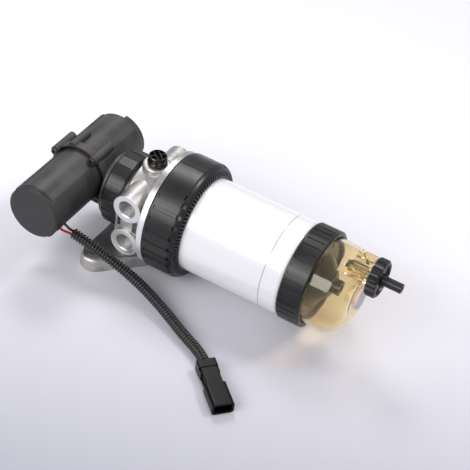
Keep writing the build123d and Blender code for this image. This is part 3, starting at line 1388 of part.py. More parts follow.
def on_connector(distance):
    """The point on the connector's centre line at a distance from its back."""
    return (
        CONNECTOR_BACK[0] + heading[0] * distance,
        CONNECTOR_BACK[1] + heading[1] * distance,
        BOOT_HEIGHT / 2,
    )


def across_connector(distance):
    """The plane across the connector at a distance from its back."""
    return Plane(origin=on_connector(distance), x_dir=sideways, z_dir=heading)


def by_pump(along_x, along_y, rise):
    """A point given from where the pump's axis meets its front face."""
    return (PUMP_X + along_x, PUMP_FRONT_Y + along_y, pump_z + rise)


# Routes of the lead, hand chosen, from the pump to the connector
conduit_route = [
    by_pump(24.8, 23.0, -24.0),
    (8.1, -57.5, 28.6),
    (33.1, -54.5, 18.4),
    (60.0, -59.0, 12.8),
    (86.0, -67.6, 8.2),
    (110.0, -78.8, 5.9),
    on_connector(CONDUIT_INSERTION - CONDUIT_LAST_RUN),
    on_connector(CONDUIT_INSERTION),
]
red_route = [
    by_pump(19.8, 5.7, -5.4),
    by_pump(22.8, 8.1, -11.0),
    by_pump(21.0, 16.1, -19.6),
    by_pump(24.56, 22.11, -24.99),
    by_pump(31.32, 24.02, -28.81),
]
black_route = [
    by_pump(20.8, 8.5, -1.8),
    by_pump(26.0, 11.7, -7.8),
    by_pump(23.6, 18.3, -16.6),
    by_pump(25.04, 23.89, -23.01),
    by_pump(31.8, 25.8, -26.83),
]

with BuildPart() as conduit:
    conduit_path = cord_path(conduit_route)
    with BuildSketch(Plane(origin=conduit_path @ 0, z_dir=conduit_path % 0)):
        Circle(CONDUIT_RADIUS)
        Circle(CONDUIT_BORE, mode=Mode.SUBTRACT)
    sweep(path=conduit_path)
report_cord(
    "conduit",
    conduit_route,
    conduit_path,
    pi * (CONDUIT_RADIUS**2 - CONDUIT_BORE**2),
    conduit.part,
)

with BuildPart() as red_wire:
    red_path = cord_path(red_route)
    with BuildSketch(Plane(origin=red_path @ 0, z_dir=red_path % 0)):
        Circle(WIRE_RADIUS)
    sweep(path=red_path)
report_cord("red wire", red_route, red_path, pi * WIRE_RADIUS**2, red_wire.part)

with BuildPart() as black_wire:
    black_path = cord_path(black_route)
    with BuildSketch(Plane(origin=black_path @ 0, z_dir=black_path % 0)):
        Circle(WIRE_RADIUS)
    sweep(path=black_path)
report_cord("black wire", black_route, black_path, pi * WIRE_RADIUS**2, black_wire.part)

# Grommet that fills the slot in the pump shell round both wires
with BuildPart() as wire_grommet:
    with BuildSketch(slot_plane):
        Rectangle(WIRE_SLOT_LENGTH, WIRE_SLOT_WIDTH)
    extrude(amount=GROMMET_THICKNESS)
    add(red_wire.part, mode=Mode.SUBTRACT)
    add(black_wire.part, mode=Mode.SUBTRACT)

# Connector lying flat: boot, body with its socket, and two terminals
body_start = BOOT_LENGTH
shroud_start = body_start + BODY_LENGTH
connector_end = shroud_start + SHROUD_LENGTH
socket_floor = connector_end - SOCKET_DEPTH
with BuildPart() as connector_boot:
    with BuildSketch(across_connector(0)):
        RectangleRounded(BOOT_WIDTH, BOOT_HEIGHT, 1.4)
    extrude(amount=BOOT_LENGTH)
    with BuildSketch(across_connector(BOOT_LENGTH)):
        wing_offset = (BOOT_WIDTH - BOOT_WING_THICKNESS) / 2
        with Locations((wing_offset, 0), (-wing_offset, 0)):
            Rectangle(BOOT_WING_THICKNESS, BOOT_WING_HEIGHT)
    extrude(amount=BOOT_WING_LENGTH)
    with BuildSketch(across_connector(0)):
        Circle(CONDUIT_RADIUS)
    extrude(amount=CONDUIT_INSERTION, mode=Mode.SUBTRACT)
    with BuildSketch(across_connector(0)):
        Circle(CONDUIT_BORE)
    extrude(amount=BOOT_LENGTH, mode=Mode.SUBTRACT)

with BuildPart() as connector_body:
    with BuildSketch(across_connector(body_start)):
        RectangleRounded(BODY_WIDTH, BODY_HEIGHT, 1.2)
    extrude(amount=BODY_LENGTH)
    with BuildSketch(across_connector(shroud_start)):
        RectangleRounded(SHROUD_WIDTH, BOOT_HEIGHT, 3.0)
    extrude(amount=SHROUD_LENGTH)
    with BuildSketch(across_connector(connector_end)):
        RectangleRounded(
            SHROUD_WIDTH - 2 * SHROUD_WALL,
            BOOT_HEIGHT - 2 * SHROUD_WALL,
            1.6,
        )
    extrude(amount=-SOCKET_DEPTH, mode=Mode.SUBTRACT)
    # Latch rails along both sides
    rail_start = body_start + BOOT_WING_LENGTH + 1
    with BuildSketch(across_connector(rail_start)):
        with Locations((BODY_WIDTH / 2 + 0.4, -1.2), (-BODY_WIDTH / 2 - 0.4, -1.2)):
            Rectangle(1.2, 2.4)
    extrude(amount=shroud_start - rail_start)
    with BuildSketch(across_connector(body_start)):
        with Locations((TERMINAL_PITCH / 2, 0), (-TERMINAL_PITCH / 2, 0)):
            Rectangle(TERMINAL_SIZE, TERMINAL_SIZE)
    extrude(amount=socket_floor - body_start, mode=Mode.SUBTRACT)

with BuildPart() as connector_terminals:
    with BuildSketch(across_connector(body_start + 2)):
        with Locations((TERMINAL_PITCH / 2, 0), (-TERMINAL_PITCH / 2, 0)):
            Rectangle(TERMINAL_SIZE, TERMINAL_SIZE)
    extrude(amount=socket_floor + TERMINAL_REACH - body_start - 2)

pieces = {
    "filter_head": filter_head,
    "vent_plug": vent_plug,
    "vent_o_ring": vent_o_ring,
    "canister_shell": canister_shell,
    "canister_gasket": canister_gasket,
    "top_cap": top_cap,
    "centre_tube": centre_tube,
    "pleated_paper": pleated_paper,
    "lower_cap": lower_cap,
    "lock_ring": lock_ring,
    "bowl_ring": bowl_ring,
    "bowl": bowl,
    "bowl_seal": bowl_seal,
    "sensor_port_plug": sensor_port_plug,
    "drain_valve": drain_valve,
    "drain_o_ring": drain_o_ring,
    "pump_front_shell": pump_front_shell,
    "wire_grommet": wire_grommet,
    "pump_end_cap": pump_end_cap,
    "pump_rear_shell": pump_rear_shell,
    "neck_o_ring": neck_o_ring,
    "pump_seal": pump_seal,
    "pump_screws": pump_screws,
    "pump_collar": pump_collar,
    "motor_can": motor_can,
    "magnets": magnets,
    "armature_core": armature_core,
    "windings": windings,
    "commutator": commutator,
    "motor_shaft": motor_shaft,
    "front_bearing": front_bearing,
    "rear_bearing": rear_bearing,
    "brush_holder": brush_holder,
    "brushes": brushes,
    "inlet_plate": inlet_plate,
    "impeller": impeller,
    "outlet_plate": outlet_plate,
    "conduit": conduit,
    "red_wire": red_wire,
    "black_wire": black_wire,
    "connector_boot": connector_boot,
    "connector_body": connector_body,
    "connector_terminals": connector_terminals,
}
for name, piece in pieces.items():
    piece.part.label = name
    export_step(piece.part, f"parts/{name}.step")
    print(name, "solids", len(piece.part.solids()), "volume", round(piece.part.volume))
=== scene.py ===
# %% [markdown]
# # A fuel water separator, dressed for a picture
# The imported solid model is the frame. Every shape that is right there keeps its place and only gets
# a finish. The lead, which is soft and finely ribbed, is made here.

import math

import bmesh
import bpy
from mathutils import Matrix, Vector


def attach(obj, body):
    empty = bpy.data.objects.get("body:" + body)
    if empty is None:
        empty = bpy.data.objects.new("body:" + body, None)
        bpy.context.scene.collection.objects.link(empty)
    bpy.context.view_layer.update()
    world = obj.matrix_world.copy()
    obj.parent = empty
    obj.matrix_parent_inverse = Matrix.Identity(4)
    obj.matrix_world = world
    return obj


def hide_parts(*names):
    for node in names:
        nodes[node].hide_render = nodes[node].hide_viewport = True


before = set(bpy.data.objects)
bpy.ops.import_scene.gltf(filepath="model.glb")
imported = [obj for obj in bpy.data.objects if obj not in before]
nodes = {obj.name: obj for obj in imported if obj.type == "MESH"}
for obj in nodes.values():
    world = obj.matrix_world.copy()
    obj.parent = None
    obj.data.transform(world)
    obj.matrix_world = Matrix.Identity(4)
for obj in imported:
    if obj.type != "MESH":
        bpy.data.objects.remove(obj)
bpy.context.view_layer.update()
MM = 0.001

# %% [markdown]
# ## Two small helpers
# New things are put into the scene in one way. A curve, or a piece with modifiers, is turned into a
# plain mesh in one way too.


# %% Helpers for new pieces
def new_object(name, data):
    """A new object in the scene."""
    piece = bpy.data.objects.new(name, data)
    bpy.context.scene.collection.objects.link(piece)
    return piece


def drawn_mesh(piece):
    """A new mesh of a piece as it is drawn, with its modifiers applied."""
    bpy.context.view_layer.update()
    drawn = piece.evaluated_get(bpy.context.evaluated_depsgraph_get())
    return bpy.data.meshes.new_from_object(drawn)


print("helpers ready")

# %% [markdown]
# ## Camera
# A product photo is taken with a long lens from a few steps away, so the far end hardly shrinks.
# The camera is described by what a photographer would note: how far round it stands, how high it
# looks down from, how it is tilted, and how far away it is. From these its axes are worked out.

# %% Place the camera
AZIMUTH = math.radians(24.19)
ELEVATION = math.radians(41.32)
ROLL = math.radians(8.93)
DISTANCE = 1198.3 * MM
TARGET = Vector((105.0, 0.0, 54.0)) * MM
SHIFT_RIGHT = 1.16 * MM
SHIFT_UP = 2.22 * MM
LENS = 110.1
CLIP_START = 0.05

backwards = Vector(
    (
        math.sin(AZIMUTH) * math.cos(ELEVATION),
        -math.cos(AZIMUTH) * math.cos(ELEVATION),
        math.sin(ELEVATION),
    )
)
level_right = Vector((math.cos(AZIMUTH), math.sin(AZIMUTH), 0))
level_up = backwards.cross(level_right)
right = math.cos(ROLL) * level_right + math.sin(ROLL) * level_up
up = -math.sin(ROLL) * level_right + math.cos(ROLL) * level_up

camera_data = bpy.data.cameras.new("camera")
camera_data.lens = LENS
camera_data.clip_start = CLIP_START
camera = new_object("camera", camera_data)
place = Matrix((right, up, backwards)).transposed().to_4x4()
place.translation = (
    TARGET + SHIFT_RIGHT * level_right + SHIFT_UP * level_up + DISTANCE * backwards
)
camera.matrix_world = place
bpy.context.scene.camera = camera
print("camera at", [round(c, 3) for c in place.translation])

# %% [markdown]
# ## The lead
# The lead leaves the pump as two thin wires, which run into a ribbed conduit that lies down on the
# table and ends in a flat connector. Each route is a few control points of one smooth spline, so
# the lead bends the way a springy tube does.

# %% A smooth route through a few points
ROUTE_STEPS = 24


def route(name, points):
    """One open spline through the control points, given in millimetres."""
    data = bpy.data.curves.new(name, "CURVE")
    data.dimensions = "3D"
    spline = data.splines.new("NURBS")
    spline.points.add(len(points) - 1)
    for point, place in zip(spline.points, points):
        point.co = (*(c * MM for c in place), 1)
    spline.order_u = 3
    spline.use_endpoint_u = True
    data.resolution_u = ROUTE_STEPS
    return new_object(name, data)


def centre_points(curve):
    """The points that a bare curve is drawn through."""
    mesh = drawn_mesh(curve)
    points = [vertex.co.copy() for vertex in mesh.vertices]
    bpy.data.meshes.remove(mesh)
    return points


def run_length(points):
    """Length of a line of points."""
    return sum((b - a).length for a, b in zip(points, points[1:]))


CONDUIT_ROUTE = (
    (-12.4, -63.3, 40.2),
    (8.1, -57.5, 28.6),
    (33.1, -54.5, 18.4),
    (60.0, -59.0, 12.8),
    (86.0, -67.6, 8.2),
    (110.0, -78.8, 5.9),
    (133.3, -88.56, 5.75),
    (142.9, -97.3, 5.75),
)
RED_ROUTE = (
    (-17.4, -80.6, 58.8),
    (-14.4, -78.2, 53.2),
    (-16.2, -70.2, 44.6),
    (-12.64, -64.19, 39.21),
    (-5.88, -62.28, 35.39),
)
BLACK_ROUTE = (
    (-16.4, -77.8, 62.4),
    (-11.2, -74.6, 56.4),
    (-13.6, -68.0, 47.6),
    (-12.16, -62.41, 41.19),
    (-5.4, -60.5, 37.37),
)
conduit_line = route("conduit_line", CONDUIT_ROUTE)
conduit_points = centre_points(conduit_line)
conduit_length = run_length(conduit_points)
print(f"conduit {conduit_length * 1000:.0f} mm long")

# %% [markdown]
# ### Ribbed conduit
# A split conduit is a thin plastic tube, pressed into rounded rings so that it bends, and slit
# along its whole length so that wires can be laid in. One ring is a short wavy line. It is repeated
# along the tube and spun nearly all the way round, so that the slit stays open. Spinning leaves the
# faces in an order that changes from run to run, so they are put in a fixed one. The tube is made
# straight, given its wall, and then bent along the route by a Curve modifier, which is applied.

# %% Spin the ribbed tube and bend it along the route
CONDUIT_RADIUS = 4.8 * MM
RIB_PITCH = 2.7 * MM
RIB_DEPTH = 1.3 * MM
RIB_SHAPE = (
    (0.0, 1.0),
    (0.14, 1.0),
    (0.24, 0.4),
    (0.34, 0.08),
    (0.54, 0.0),
    (0.74, 0.08),
    (0.86, 0.4),
    (0.94, 0.9),
)
SLIT_ANGLE = math.radians(8)
CONDUIT_WALL = 0.5 * MM
SLIT_PLACE = math.radians(30)
SPIN_STEPS = 30


def ribbed_tube(length):
    """A straight ribbed tube along +X with an open slit."""
    bm = bmesh.new()
    count = round(length / RIB_PITCH)
    pitch = length / count
    line = [
        bm.verts.new(((k + share) * pitch, 0, CONDUIT_RADIUS - depth * RIB_DEPTH))
        for k in range(count)
        for share, depth in RIB_SHAPE
    ]
    line.append(bm.verts.new((length, 0, CONDUIT_RADIUS - RIB_DEPTH)))
    edges = [bm.edges.new(pair) for pair in zip(line, line[1:])]
    turn = 2 * math.pi - SLIT_ANGLE
    bmesh.ops.rotate(
        bm, verts=bm.verts, cent=(0, 0, 0), matrix=Matrix.Rotation(SLIT_PLACE, 3, "X")
    )
    bmesh.ops.spin(
        bm,
        geom=line + edges,
        cent=(0, 0, 0),
        axis=(1, 0, 0),
        angle=turn,
        steps=SPIN_STEPS,
        use_merge=False,
    )
    bmesh.ops.recalc_face_normals(bm, faces=bm.faces)
    return in_fixed_order(bm)


def in_fixed_order(bm):
    """The same mesh with its faces, and each face's first corner, in a fixed order."""
    bm.verts.index_update()
    rings = []
    for face in bm.faces:
        ring = [vertex.index for vertex in face.verts]
        first = ring.index(min(ring))
        rings.append(ring[first:] + ring[:first])
    ordered = bmesh.new()
    corners = [ordered.verts.new(vertex.co) for vertex in bm.verts]
    for ring in sorted(rings):
        ordered.faces.new([corners[index] for index in ring])
    bm.free()
    return ordered


def finish_mesh(bm, name, smooth=True):
    """A new object from a bmesh, with rounded shading unless smooth is off."""
    mesh = bpy.data.meshes.new(name)
    bm.to_mesh(mesh)
    bm.free()
    if smooth:
        mesh.polygons.foreach_set("use_smooth", [True] * len(mesh.polygons))
    return new_object(name, mesh)


def apply_modifiers(piece):
    """The mesh with its modifiers applied takes the place of the first one."""
    mesh = drawn_mesh(piece)
    mesh.name = piece.name
    piece.modifiers.clear()
    piece.data = mesh


conduit = finish_mesh(ribbed_tube(conduit_length), "ribbed_conduit")
wall = conduit.modifiers.new("wall", "SOLIDIFY")
wall.thickness = CONDUIT_WALL
wall.offset = -1
bend = conduit.modifiers.new("bend", "CURVE")
bend.object = conduit_line
bend.deform_axis = "POS_X"
apply_modifiers(conduit)
bpy.data.objects.remove(conduit_line)
print("conduit faces:", len(conduit.data.polygons))

# %% [markdown]
# ### Wires
# Each wire is a curve with a round section, turned into a mesh.

# %% Make the two wires
WIRE_RADIUS = 1.1 * MM
WIRE_ROUNDING = 4


def wire(name, points):
    """A round wire along its route, and the points of its middle line."""
    line = route(name, points)
    middle = centre_points(line)
    line.data.bevel_depth = WIRE_RADIUS
    line.data.bevel_resolution = WIRE_ROUNDING
    line.data.use_fill_caps = True
    piece = new_object(name, drawn_mesh(line))
    bpy.data.objects.remove(line)
    piece.name = name
    piece.data.polygons.foreach_set("use_smooth", [True] * len(piece.data.polygons))
    return piece, middle


red_wire, red_middle = wire("red_lead_wire", RED_ROUTE)
black_wire, black_middle = wire("black_lead_wire", BLACK_ROUTE)
print("wires", [round(run_length(m) * 1000) for m in (red_middle, black_middle)], "mm")

for piece, node in (
    (conduit, "conduit"),
    (red_wire, "red_wire"),
    (black_wire, "black_wire"),
):
    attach(piece, "head")
    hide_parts(node)

# %% [markdown]
# ## Finishes
# Each finish is a small tree of shader nodes. Most of them share three ideas. The colour varies a
# little over the surface, because no moulding or casting is even. The roughness varies too, so
# highlights break up. A fine bump gives the grain of the mould. The bevel node rounds the look of
# sharp edges, which catch light on a real part.

# %% Helpers for shader trees
CLOUD_LOW = 0.3
CLOUD_HIGH = 0.7
BEVEL_SAMPLES = 6


class Finish:
    """A material with its main shader, and short ways to add nodes to it."""

    def __init__(self, name, slot=None):
        self.material = bpy.data.materials.new(name)
        self.material.use_nodes = True
        self.tree = self.material.node_tree
        self.shader = self.tree.nodes["Principled BSDF"]
        self.output = self.tree.nodes["Material Output"]
        self.slot = slot
        self.place = self.add("ShaderNodeTexCoord").outputs["Object"]

    def add(self, kind, **settings):
        """A new node with its plain settings."""
        node = self.tree.nodes.new(kind)
        for key, value in settings.items():
            setattr(node, key, value)
        return node

    def link(self, source, target):
        """A wire between two sockets."""
        self.tree.links.new(source, target)

    def value(self, socket, value):
        """A number on a socket, or a wire to it."""
        if isinstance(value, bpy.types.NodeSocket):
            self.link(value, socket)
        else:
            socket.default_value = value

    def noise(self, scale, detail=3.0):
        """Soft cloudy noise, from 0 to 1, in the part's own space."""
        node = self.add("ShaderNodeTexNoise")
        node.inputs["Scale"].default_value = scale
        node.inputs["Detail"].default_value = detail
        self.link(self.place, node.inputs["Vector"])
        return node.outputs["Fac"]

    def math(self, operation, a, b=0.0):
        """One step of arithmetic on two values."""
        node = self.add("ShaderNodeMath", operation=operation)
        self.value(node.inputs[0], a)
        self.value(node.inputs[1], b)
        return node.outputs[0]

    def span(self, source, low, high, to_low=0.0, to_high=1.0):
        """Stretches a range of a value to another range."""
        node = self.add("ShaderNodeMapRange", clamp=True)
        self.link(source, node.inputs["Value"])
        for name, number in (
            ("From Min", low),
            ("From Max", high),
            ("To Min", to_low),
            ("To Max", to_high),
        ):
            node.inputs[name].default_value = number
        return node.outputs["Result"]

    def mix(self, share, first, second):
        """A colour between two, by a share."""
        node = self.add("ShaderNodeMix", data_type="RGBA")
        self.value(node.inputs["Factor"], share)
        for name, colour in (("A", first), ("B", second)):
            socket = next(
                s for s in node.inputs if s.name == name and s.type == "RGBA"
            )
            self.value(socket, (*colour, 1) if isinstance(colour, tuple) else colour)
        return next(s for s in node.outputs if s.type == "RGBA")

    def colour(self, value):
        """The base colour."""
        self.value(
            self.shader.inputs["Base Color"],
            (*value, 1) if isinstance(value, tuple) else value,
        )

    def rough(self, value):
        """The roughness."""
        self.value(self.shader.inputs["Roughness"], value)

    def relief(self, height, distance, edge=0.0):
        """Bump from a height, over edges that look rounded."""
        bump = self.add("ShaderNodeBump")
        bump.inputs["Distance"].default_value = distance
        self.link(height, bump.inputs["Height"])
        if edge:
            bevel = self.add("ShaderNodeBevel", samples=BEVEL_SAMPLES)
            bevel.inputs["Radius"].default_value = edge
            self.link(bevel.outputs["Normal"], bump.inputs["Normal"])
        self.link(bump.outputs["Normal"], self.shader.inputs["Normal"])

    def axis(self, index):
        """One coordinate of the part's own space."""
        node = self.add("ShaderNodeSeparateXYZ")
        self.link(self.place, node.inputs[0])
        return node.outputs[index]

    def wear(self, *names):
        """Puts this finish on CAD nodes or new pieces."""
        for name in names:
            piece = nodes.get(name) or bpy.data.objects[name]
            piece.data.materials.clear()
            piece.data.materials.append(self.material)


print("finish helper ready")

# %% [markdown]
# ### Moulded plastics
# The rings, the pump and the connector are all moulded black plastic, but not the same one. Glass
# filled nylon is greyer and duller than the smooth plastic of the knob. One helper makes them all,
# and each gets its own shade, gloss and grain.


# %% Moulded plastic
def moulded(name, slot, shade, roughness, grain=0.04 * MM, warm=0.0, edge=0.4 * MM):
    """Dark moulded plastic with a fine grain, warmer where it is lighter."""
    made = Finish(name, slot)
    cloud = made.noise(45.0)
    fine = made.noise(900.0, 2.0)
    light = (shade * 1.25 + warm, shade * 1.22 + warm * 0.8, shade * 1.2 + warm * 0.55)
    dark = (shade * 0.8, shade * 0.8, shade * 0.82)
    made.colour(made.mix(made.span(cloud, CLOUD_LOW, CLOUD_HIGH), dark, light))
    made.rough(
        made.span(cloud, CLOUD_LOW, CLOUD_HIGH, roughness - 0.05, roughness + 0.06)
    )
    made.relief(fine, grain, edge)
    made.shader.inputs["IOR"].default_value = 1.5
    return made


ring_plastic = moulded("ring_plastic", "ring_black", 0.005, 0.36, warm=0.001)
pump_plastic = moulded(
    "pump_plastic", "pump_plastic", 0.030, 0.46, 0.06 * MM, warm=0.018
)
# painted shade: a darker copy of the pump plastic for the end cap, which faces the front lamp; its
# cooler, unwarmed tone is the cap's own
pump_cap_shaded_plastic = moulded("pump_cap_shaded_plastic", "pump_plastic", 0.024, 0.5)
knob_plastic = moulded("knob_plastic", "ring_black", 0.006, 0.16, 0.01 * MM)
connector_plastic = moulded("connector_plastic", "connector_black", 0.003, 0.30)
connector_plastic.shader.inputs["Specular IOR Level"].default_value = 0.16
conduit_plastic = moulded("conduit_plastic", "conduit_black", 0.024, 0.24, edge=0.0)
print("plastics ready")

# %% [markdown]
# ### Cast aluminium
# The head is cast and then machined where something seals. The casting is a pale satin metal with
# a fine sandy skin, and its faces catch light unevenly. The faces of the two ports are cut bright.
# The threads are a bump that waves along each bore. Faces and bores are found by their place: a
# port face lies in front of the casting and well above the foot.

# %% Cast aluminium
PORT_X = 26.1 * MM
PORT_HEIGHTS = (72.35 * MM, 36.3 * MM)
PORT_FACE = -43.4 * MM
CUT_ABOVE = 20.0 * MM
THREAD_RADIUS = 7.35 * MM
THREAD_PITCH = 1.5 * MM
THREAD_BUMP = 4.0
CAST_BUMP = 0.12 * MM
CAST_EDGE = 0.6 * MM
cast_metal = Finish("cast_aluminium", "cast_head")
across, depth, height = (cast_metal.axis(index) for index in range(3))
sand = cast_metal.noise(700.0, 5.0)
patches = cast_metal.noise(60.0, 4.0)
cast_metal.shader.inputs["Metallic"].default_value = 1.0
skin = cast_metal.mix(
    cast_metal.span(patches, 0.35, 0.65), (0.40, 0.39, 0.375), (0.60, 0.585, 0.56)
)
cut = cast_metal.math(
    "MULTIPLY",
    cast_metal.math("LESS_THAN", depth, PORT_FACE),
    cast_metal.math("GREATER_THAN", height, CUT_ABOVE),
)
cast_metal.colour(cast_metal.mix(cut, skin, (0.88, 0.88, 0.87)))
cast_metal.rough(cast_metal.span(patches, 0.3, 0.7, 0.34, 0.50))
side = cast_metal.math("SUBTRACT", across, PORT_X)
in_bore = 0.0
for port_z in PORT_HEIGHTS:
    rise = cast_metal.math("SUBTRACT", height, port_z)
    away = cast_metal.math(
        "SQRT",
        cast_metal.math(
            "ADD",
            cast_metal.math("MULTIPLY", side, side),
            cast_metal.math("MULTIPLY", rise, rise),
        ),
    )
    in_bore = cast_metal.math(
        "ADD", in_bore, cast_metal.math("LESS_THAN", away, THREAD_RADIUS)
    )
turns = cast_metal.math("MULTIPLY", depth, 2 * math.pi / THREAD_PITCH)
wave = cast_metal.math("MULTIPLY", cast_metal.math("SINE", turns), THREAD_BUMP)
thread = cast_metal.math("MULTIPLY", in_bore, wave)
cast_metal.relief(cast_metal.math("ADD", sand, thread), CAST_BUMP, CAST_EDGE)
print("cast aluminium ready")

# %% [markdown]
# ### White paint
# The canister is painted steel under a clear gloss, with one thin grey line round it. The line is
# found by its distance along the canister.

# %% White paint
STRIPE_X = 152.6 * MM
STRIPE_HALF = 0.35 * MM
STRIPE_FADE = 1.6
PAINT_BUMP = 0.02 * MM
PAINT_EDGE = 0.4 * MM
white_paint = Finish("white_paint", "canister_white")
along = white_paint.axis(0)
away = white_paint.math("ABSOLUTE", white_paint.math("SUBTRACT", along, STRIPE_X))
line = white_paint.span(away, STRIPE_HALF, STRIPE_HALF * STRIPE_FADE, 1.0, 0.0)
white_paint.colour(white_paint.mix(line, (0.80, 0.805, 0.81), (0.42, 0.43, 0.45)))
white_paint.rough(0.22)
white_paint.relief(white_paint.noise(220.0, 2.0), PAINT_BUMP, PAINT_EDGE)
white_paint.shader.inputs["Coat Weight"].default_value = 0.6
white_paint.shader.inputs["Coat Roughness"].default_value = 0.06
print("paint ready")

# %% [markdown]
# ### Amber plastic
# The bowl is clear amber plastic. Light goes through it, so its shader transmits, and a little
# translucence clouds it. Its shadow is tinted and not black: for shadow rays it is mixed with a
# see-through shader.

# %% Amber plastic
AMBER = (1.0, 0.90, 0.64)
AMBER_BUMP = 0.02 * MM
SHADOW_TINT = (0.95, 0.90, 0.84, 1)
HAZE_COLOUR = (1.0, 0.80, 0.55, 1)
HAZE_SHARE = 0.05
amber = Finish("amber_plastic", "bowl_amber")
amber.colour(AMBER)
amber.rough(0.05)
amber.shader.inputs["Transmission Weight"].default_value = 1.0
amber.shader.inputs["IOR"].default_value = 1.45
amber.relief(amber.noise(120.0, 2.0), AMBER_BUMP)
path = amber.add("ShaderNodeLightPath")
through = amber.add("ShaderNodeBsdfTransparent")
through.inputs["Color"].default_value = SHADOW_TINT
haze = amber.add("ShaderNodeBsdfTranslucent")
haze.inputs["Color"].default_value = HAZE_COLOUR
cloudy = amber.add("ShaderNodeMixShader")
cloudy.inputs[0].default_value = HAZE_SHARE
amber.link(amber.shader.outputs[0], cloudy.inputs[1])
amber.link(haze.outputs[0], cloudy.inputs[2])
either = amber.add("ShaderNodeMixShader")
amber.link(path.outputs["Is Shadow Ray"], either.inputs[0])
amber.link(cloudy.outputs[0], either.inputs[1])
amber.link(through.outputs[0], either.inputs[2])
amber.link(either.outputs[0], amber.output.inputs["Surface"])
print("amber ready")

# %% [markdown]
# ### Small finishes
# The rest are plainer: rubber, steel, copper, brass, carbon, paper, the dark plastic of the caps,
# the pale plug, and the coloured skins of the wires.

# %% Small finishes
DRIFT_SCALE = 80.0
GRAIN_SCALE = 720.0
PLAIN_BUMP = 0.03 * MM
PLAIN_EDGE = 0.3 * MM


def plain(name, slot, first, second, roughness, metallic=0.0):
    """A finish that drifts between two colours."""
    made = Finish(name, slot)
    cloud = made.noise(DRIFT_SCALE, 4.0)
    made.colour(made.mix(made.span(cloud, CLOUD_LOW, CLOUD_HIGH), first, second))
    made.rough(
        made.span(cloud, CLOUD_LOW, CLOUD_HIGH, roughness - 0.05, roughness + 0.05)
    )
    made.shader.inputs["Metallic"].default_value = metallic
    made.relief(made.noise(GRAIN_SCALE), PLAIN_BUMP, PLAIN_EDGE)
    return made


rubber = plain("rubber", "seal_rubber", (0.012, 0.012, 0.012), (0.02, 0.02, 0.02), 0.6)
steel = plain("steel", "motor_steel", (0.5, 0.5, 0.5), (0.62, 0.62, 0.63), 0.3, 1.0)
dark_steel = plain(
    "dark_steel", "screw_steel", (0.05, 0.05, 0.052), (0.09, 0.09, 0.09), 0.38, 0.8
)
copper = plain("copper", "copper", (0.6, 0.25, 0.12), (0.75, 0.36, 0.2), 0.35, 1.0)
brass = plain("brass", "bronze", (0.68, 0.5, 0.2), (0.8, 0.62, 0.3), 0.3, 1.0)
carbon = plain("carbon", "bronze", (0.03, 0.03, 0.03), (0.05, 0.05, 0.05), 0.5)
paper = plain("paper", "media_paper", (0.62, 0.45, 0.2), (0.75, 0.58, 0.3), 0.9)
cap_plastic = plain(
    "cap_plastic", "cap_dark", (0.002, 0.005, 0.003), (0.006, 0.010, 0.007), 0.24
)
plug_plastic = plain(
    "plug_plastic", "plug_grey", (0.50, 0.49, 0.56), (0.62, 0.60, 0.68), 0.4
)
red_skin = plain("red_skin", "wire_red", (0.45, 0.012, 0.012), (0.6, 0.03, 0.02), 0.4)
black_skin = plain(
    "black_skin", "wire_black", (0.01, 0.01, 0.01), (0.018, 0.018, 0.018), 0.4
)
print("small finishes ready")

# %% [markdown]
# ### Dress every piece
# Every node gets its finish, also those inside, because the model may be opened.

# %% Put the finishes on
for finish, names in (
    (cast_metal, ("filter_head",)),
    (white_paint, ("canister_shell",)),
    (ring_plastic, ("lock_ring", "bowl_ring", "pump_collar", "drain_valve")),
    (knob_plastic, ("vent_plug",)),
    (pump_plastic, ("pump_front_shell", "pump_rear_shell")),
    (pump_cap_shaded_plastic, ("pump_end_cap",)),
    (amber, ("bowl",)),
    (cap_plastic, ("lower_cap", "top_cap", "centre_tube")),
    (plug_plastic, ("sensor_port_plug",)),
    (paper, ("pleated_paper",)),
    (connector_plastic, ("connector_boot", "connector_body")),
    (brass, ("connector_terminals", "commutator")),
    (conduit_plastic, ("ribbed_conduit",)),
    (red_skin, ("red_lead_wire",)),
    (black_skin, ("black_lead_wire",)),
    (dark_steel, ("pump_screws", "magnets")),
    (steel, ("motor_can", "armature_core", "motor_shaft")),
    (copper, ("windings",)),
    (carbon, ("brushes",)),
    (
        rubber,
        (
            "vent_o_ring",
            "canister_gasket",
            "bowl_seal",
            "drain_o_ring",
            "neck_o_ring",
            "pump_seal",
            "wire_grommet",
        ),
    ),
    (
        connector_plastic,
        (
            "front_bearing",
            "rear_bearing",
            "brush_holder",
            "inlet_plate",
            "impeller",
            "outlet_plate",
        ),
    ),
):
    finish.wear(*names)
bare = [name for name, piece in nodes.items() if not piece.data.materials]
print("without a finish:", bare)
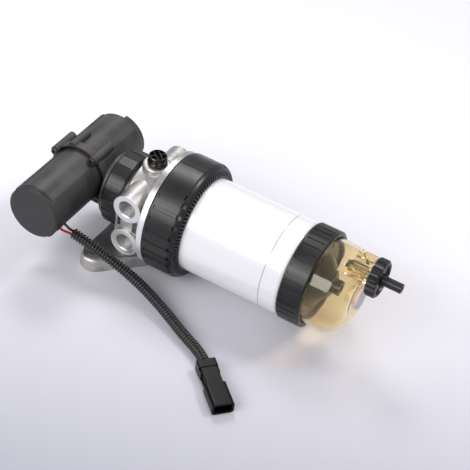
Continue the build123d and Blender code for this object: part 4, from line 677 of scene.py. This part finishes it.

# %% [markdown]
# ## Table and light
# The table is a pale sheet that is wide enough to fill the picture. Its colour is painted darker
# towards the camera: painted shade for the smaller amount of light that falls there in a small
# studio.

# %% Table
TABLE_SIZE = 6.0
FADE_X = -0.30
FADE_Y = 0.95
FADE_FROM = -0.33
FADE_TO = 0.06
NEAR_PAINTED_SHADE = (0.32, 0.32, 0.38)
FAR_COLOUR = (0.79, 0.78, 0.82)
floor_mesh = bmesh.new()
bmesh.ops.create_grid(floor_mesh, x_segments=2, y_segments=2, size=TABLE_SIZE)
floor = finish_mesh(floor_mesh, "table_sheet", smooth=False)
table_finish = Finish("table_sheet")
away = table_finish.math(
    "ADD",
    table_finish.math("MULTIPLY", table_finish.axis(0), FADE_X),
    table_finish.math("MULTIPLY", table_finish.axis(1), FADE_Y),
)
share = table_finish.span(away, FADE_FROM, FADE_TO)
# painted shade: the table's colour darkens towards the camera in place of light that fades there
table_finish.colour(table_finish.mix(share, NEAR_PAINTED_SHADE, FAR_COLOUR))
table_finish.rough(0.55)
floor.data.materials.append(table_finish.material)
print("table ready")

# %% [markdown]
# ### Light
# A small soft lamp stands high behind the part on the right, a larger one behind it on the left,
# and a wide one in front fills the shadows. The rest comes from a pale world.

# %% Lamps and world
LAMP_AIM = Vector((0.08, 0.0, 0.04))
WORLD_COLOUR = (0.93, 0.93, 1.0, 1)
WORLD_STRENGTH = 0.52


def lamp(name, place, size, power):
    """A soft lamp aimed at the part. Its sides are in metres, its power in watts."""
    data = bpy.data.lights.new(name, "AREA")
    data.shape = "RECTANGLE"
    data.size, data.size_y = size
    data.energy = power
    piece = new_object(name, data)
    aim = (LAMP_AIM - Vector(place)).to_track_quat("-Z", "Y")
    piece.matrix_world = Matrix.Translation(place) @ aim.to_matrix().to_4x4()


lamp("key_lamp", (0.62, 0.46, 1.1), (0.26, 0.26), 5.5)
lamp("front_lamp", (-0.35, -1.2, 0.95), (1.3, 0.8), 18.0)
lamp("back_lamp", (-0.45, 0.6, 1.15), (0.45, 0.4), 5.5)
world = bpy.data.worlds.new("studio")
world.use_nodes = True
background = world.node_tree.nodes["Background"]
background.inputs["Color"].default_value = WORLD_COLOUR
background.inputs["Strength"].default_value = WORLD_STRENGTH
bpy.context.scene.world = world
bpy.context.scene.view_settings.view_transform = "Standard"
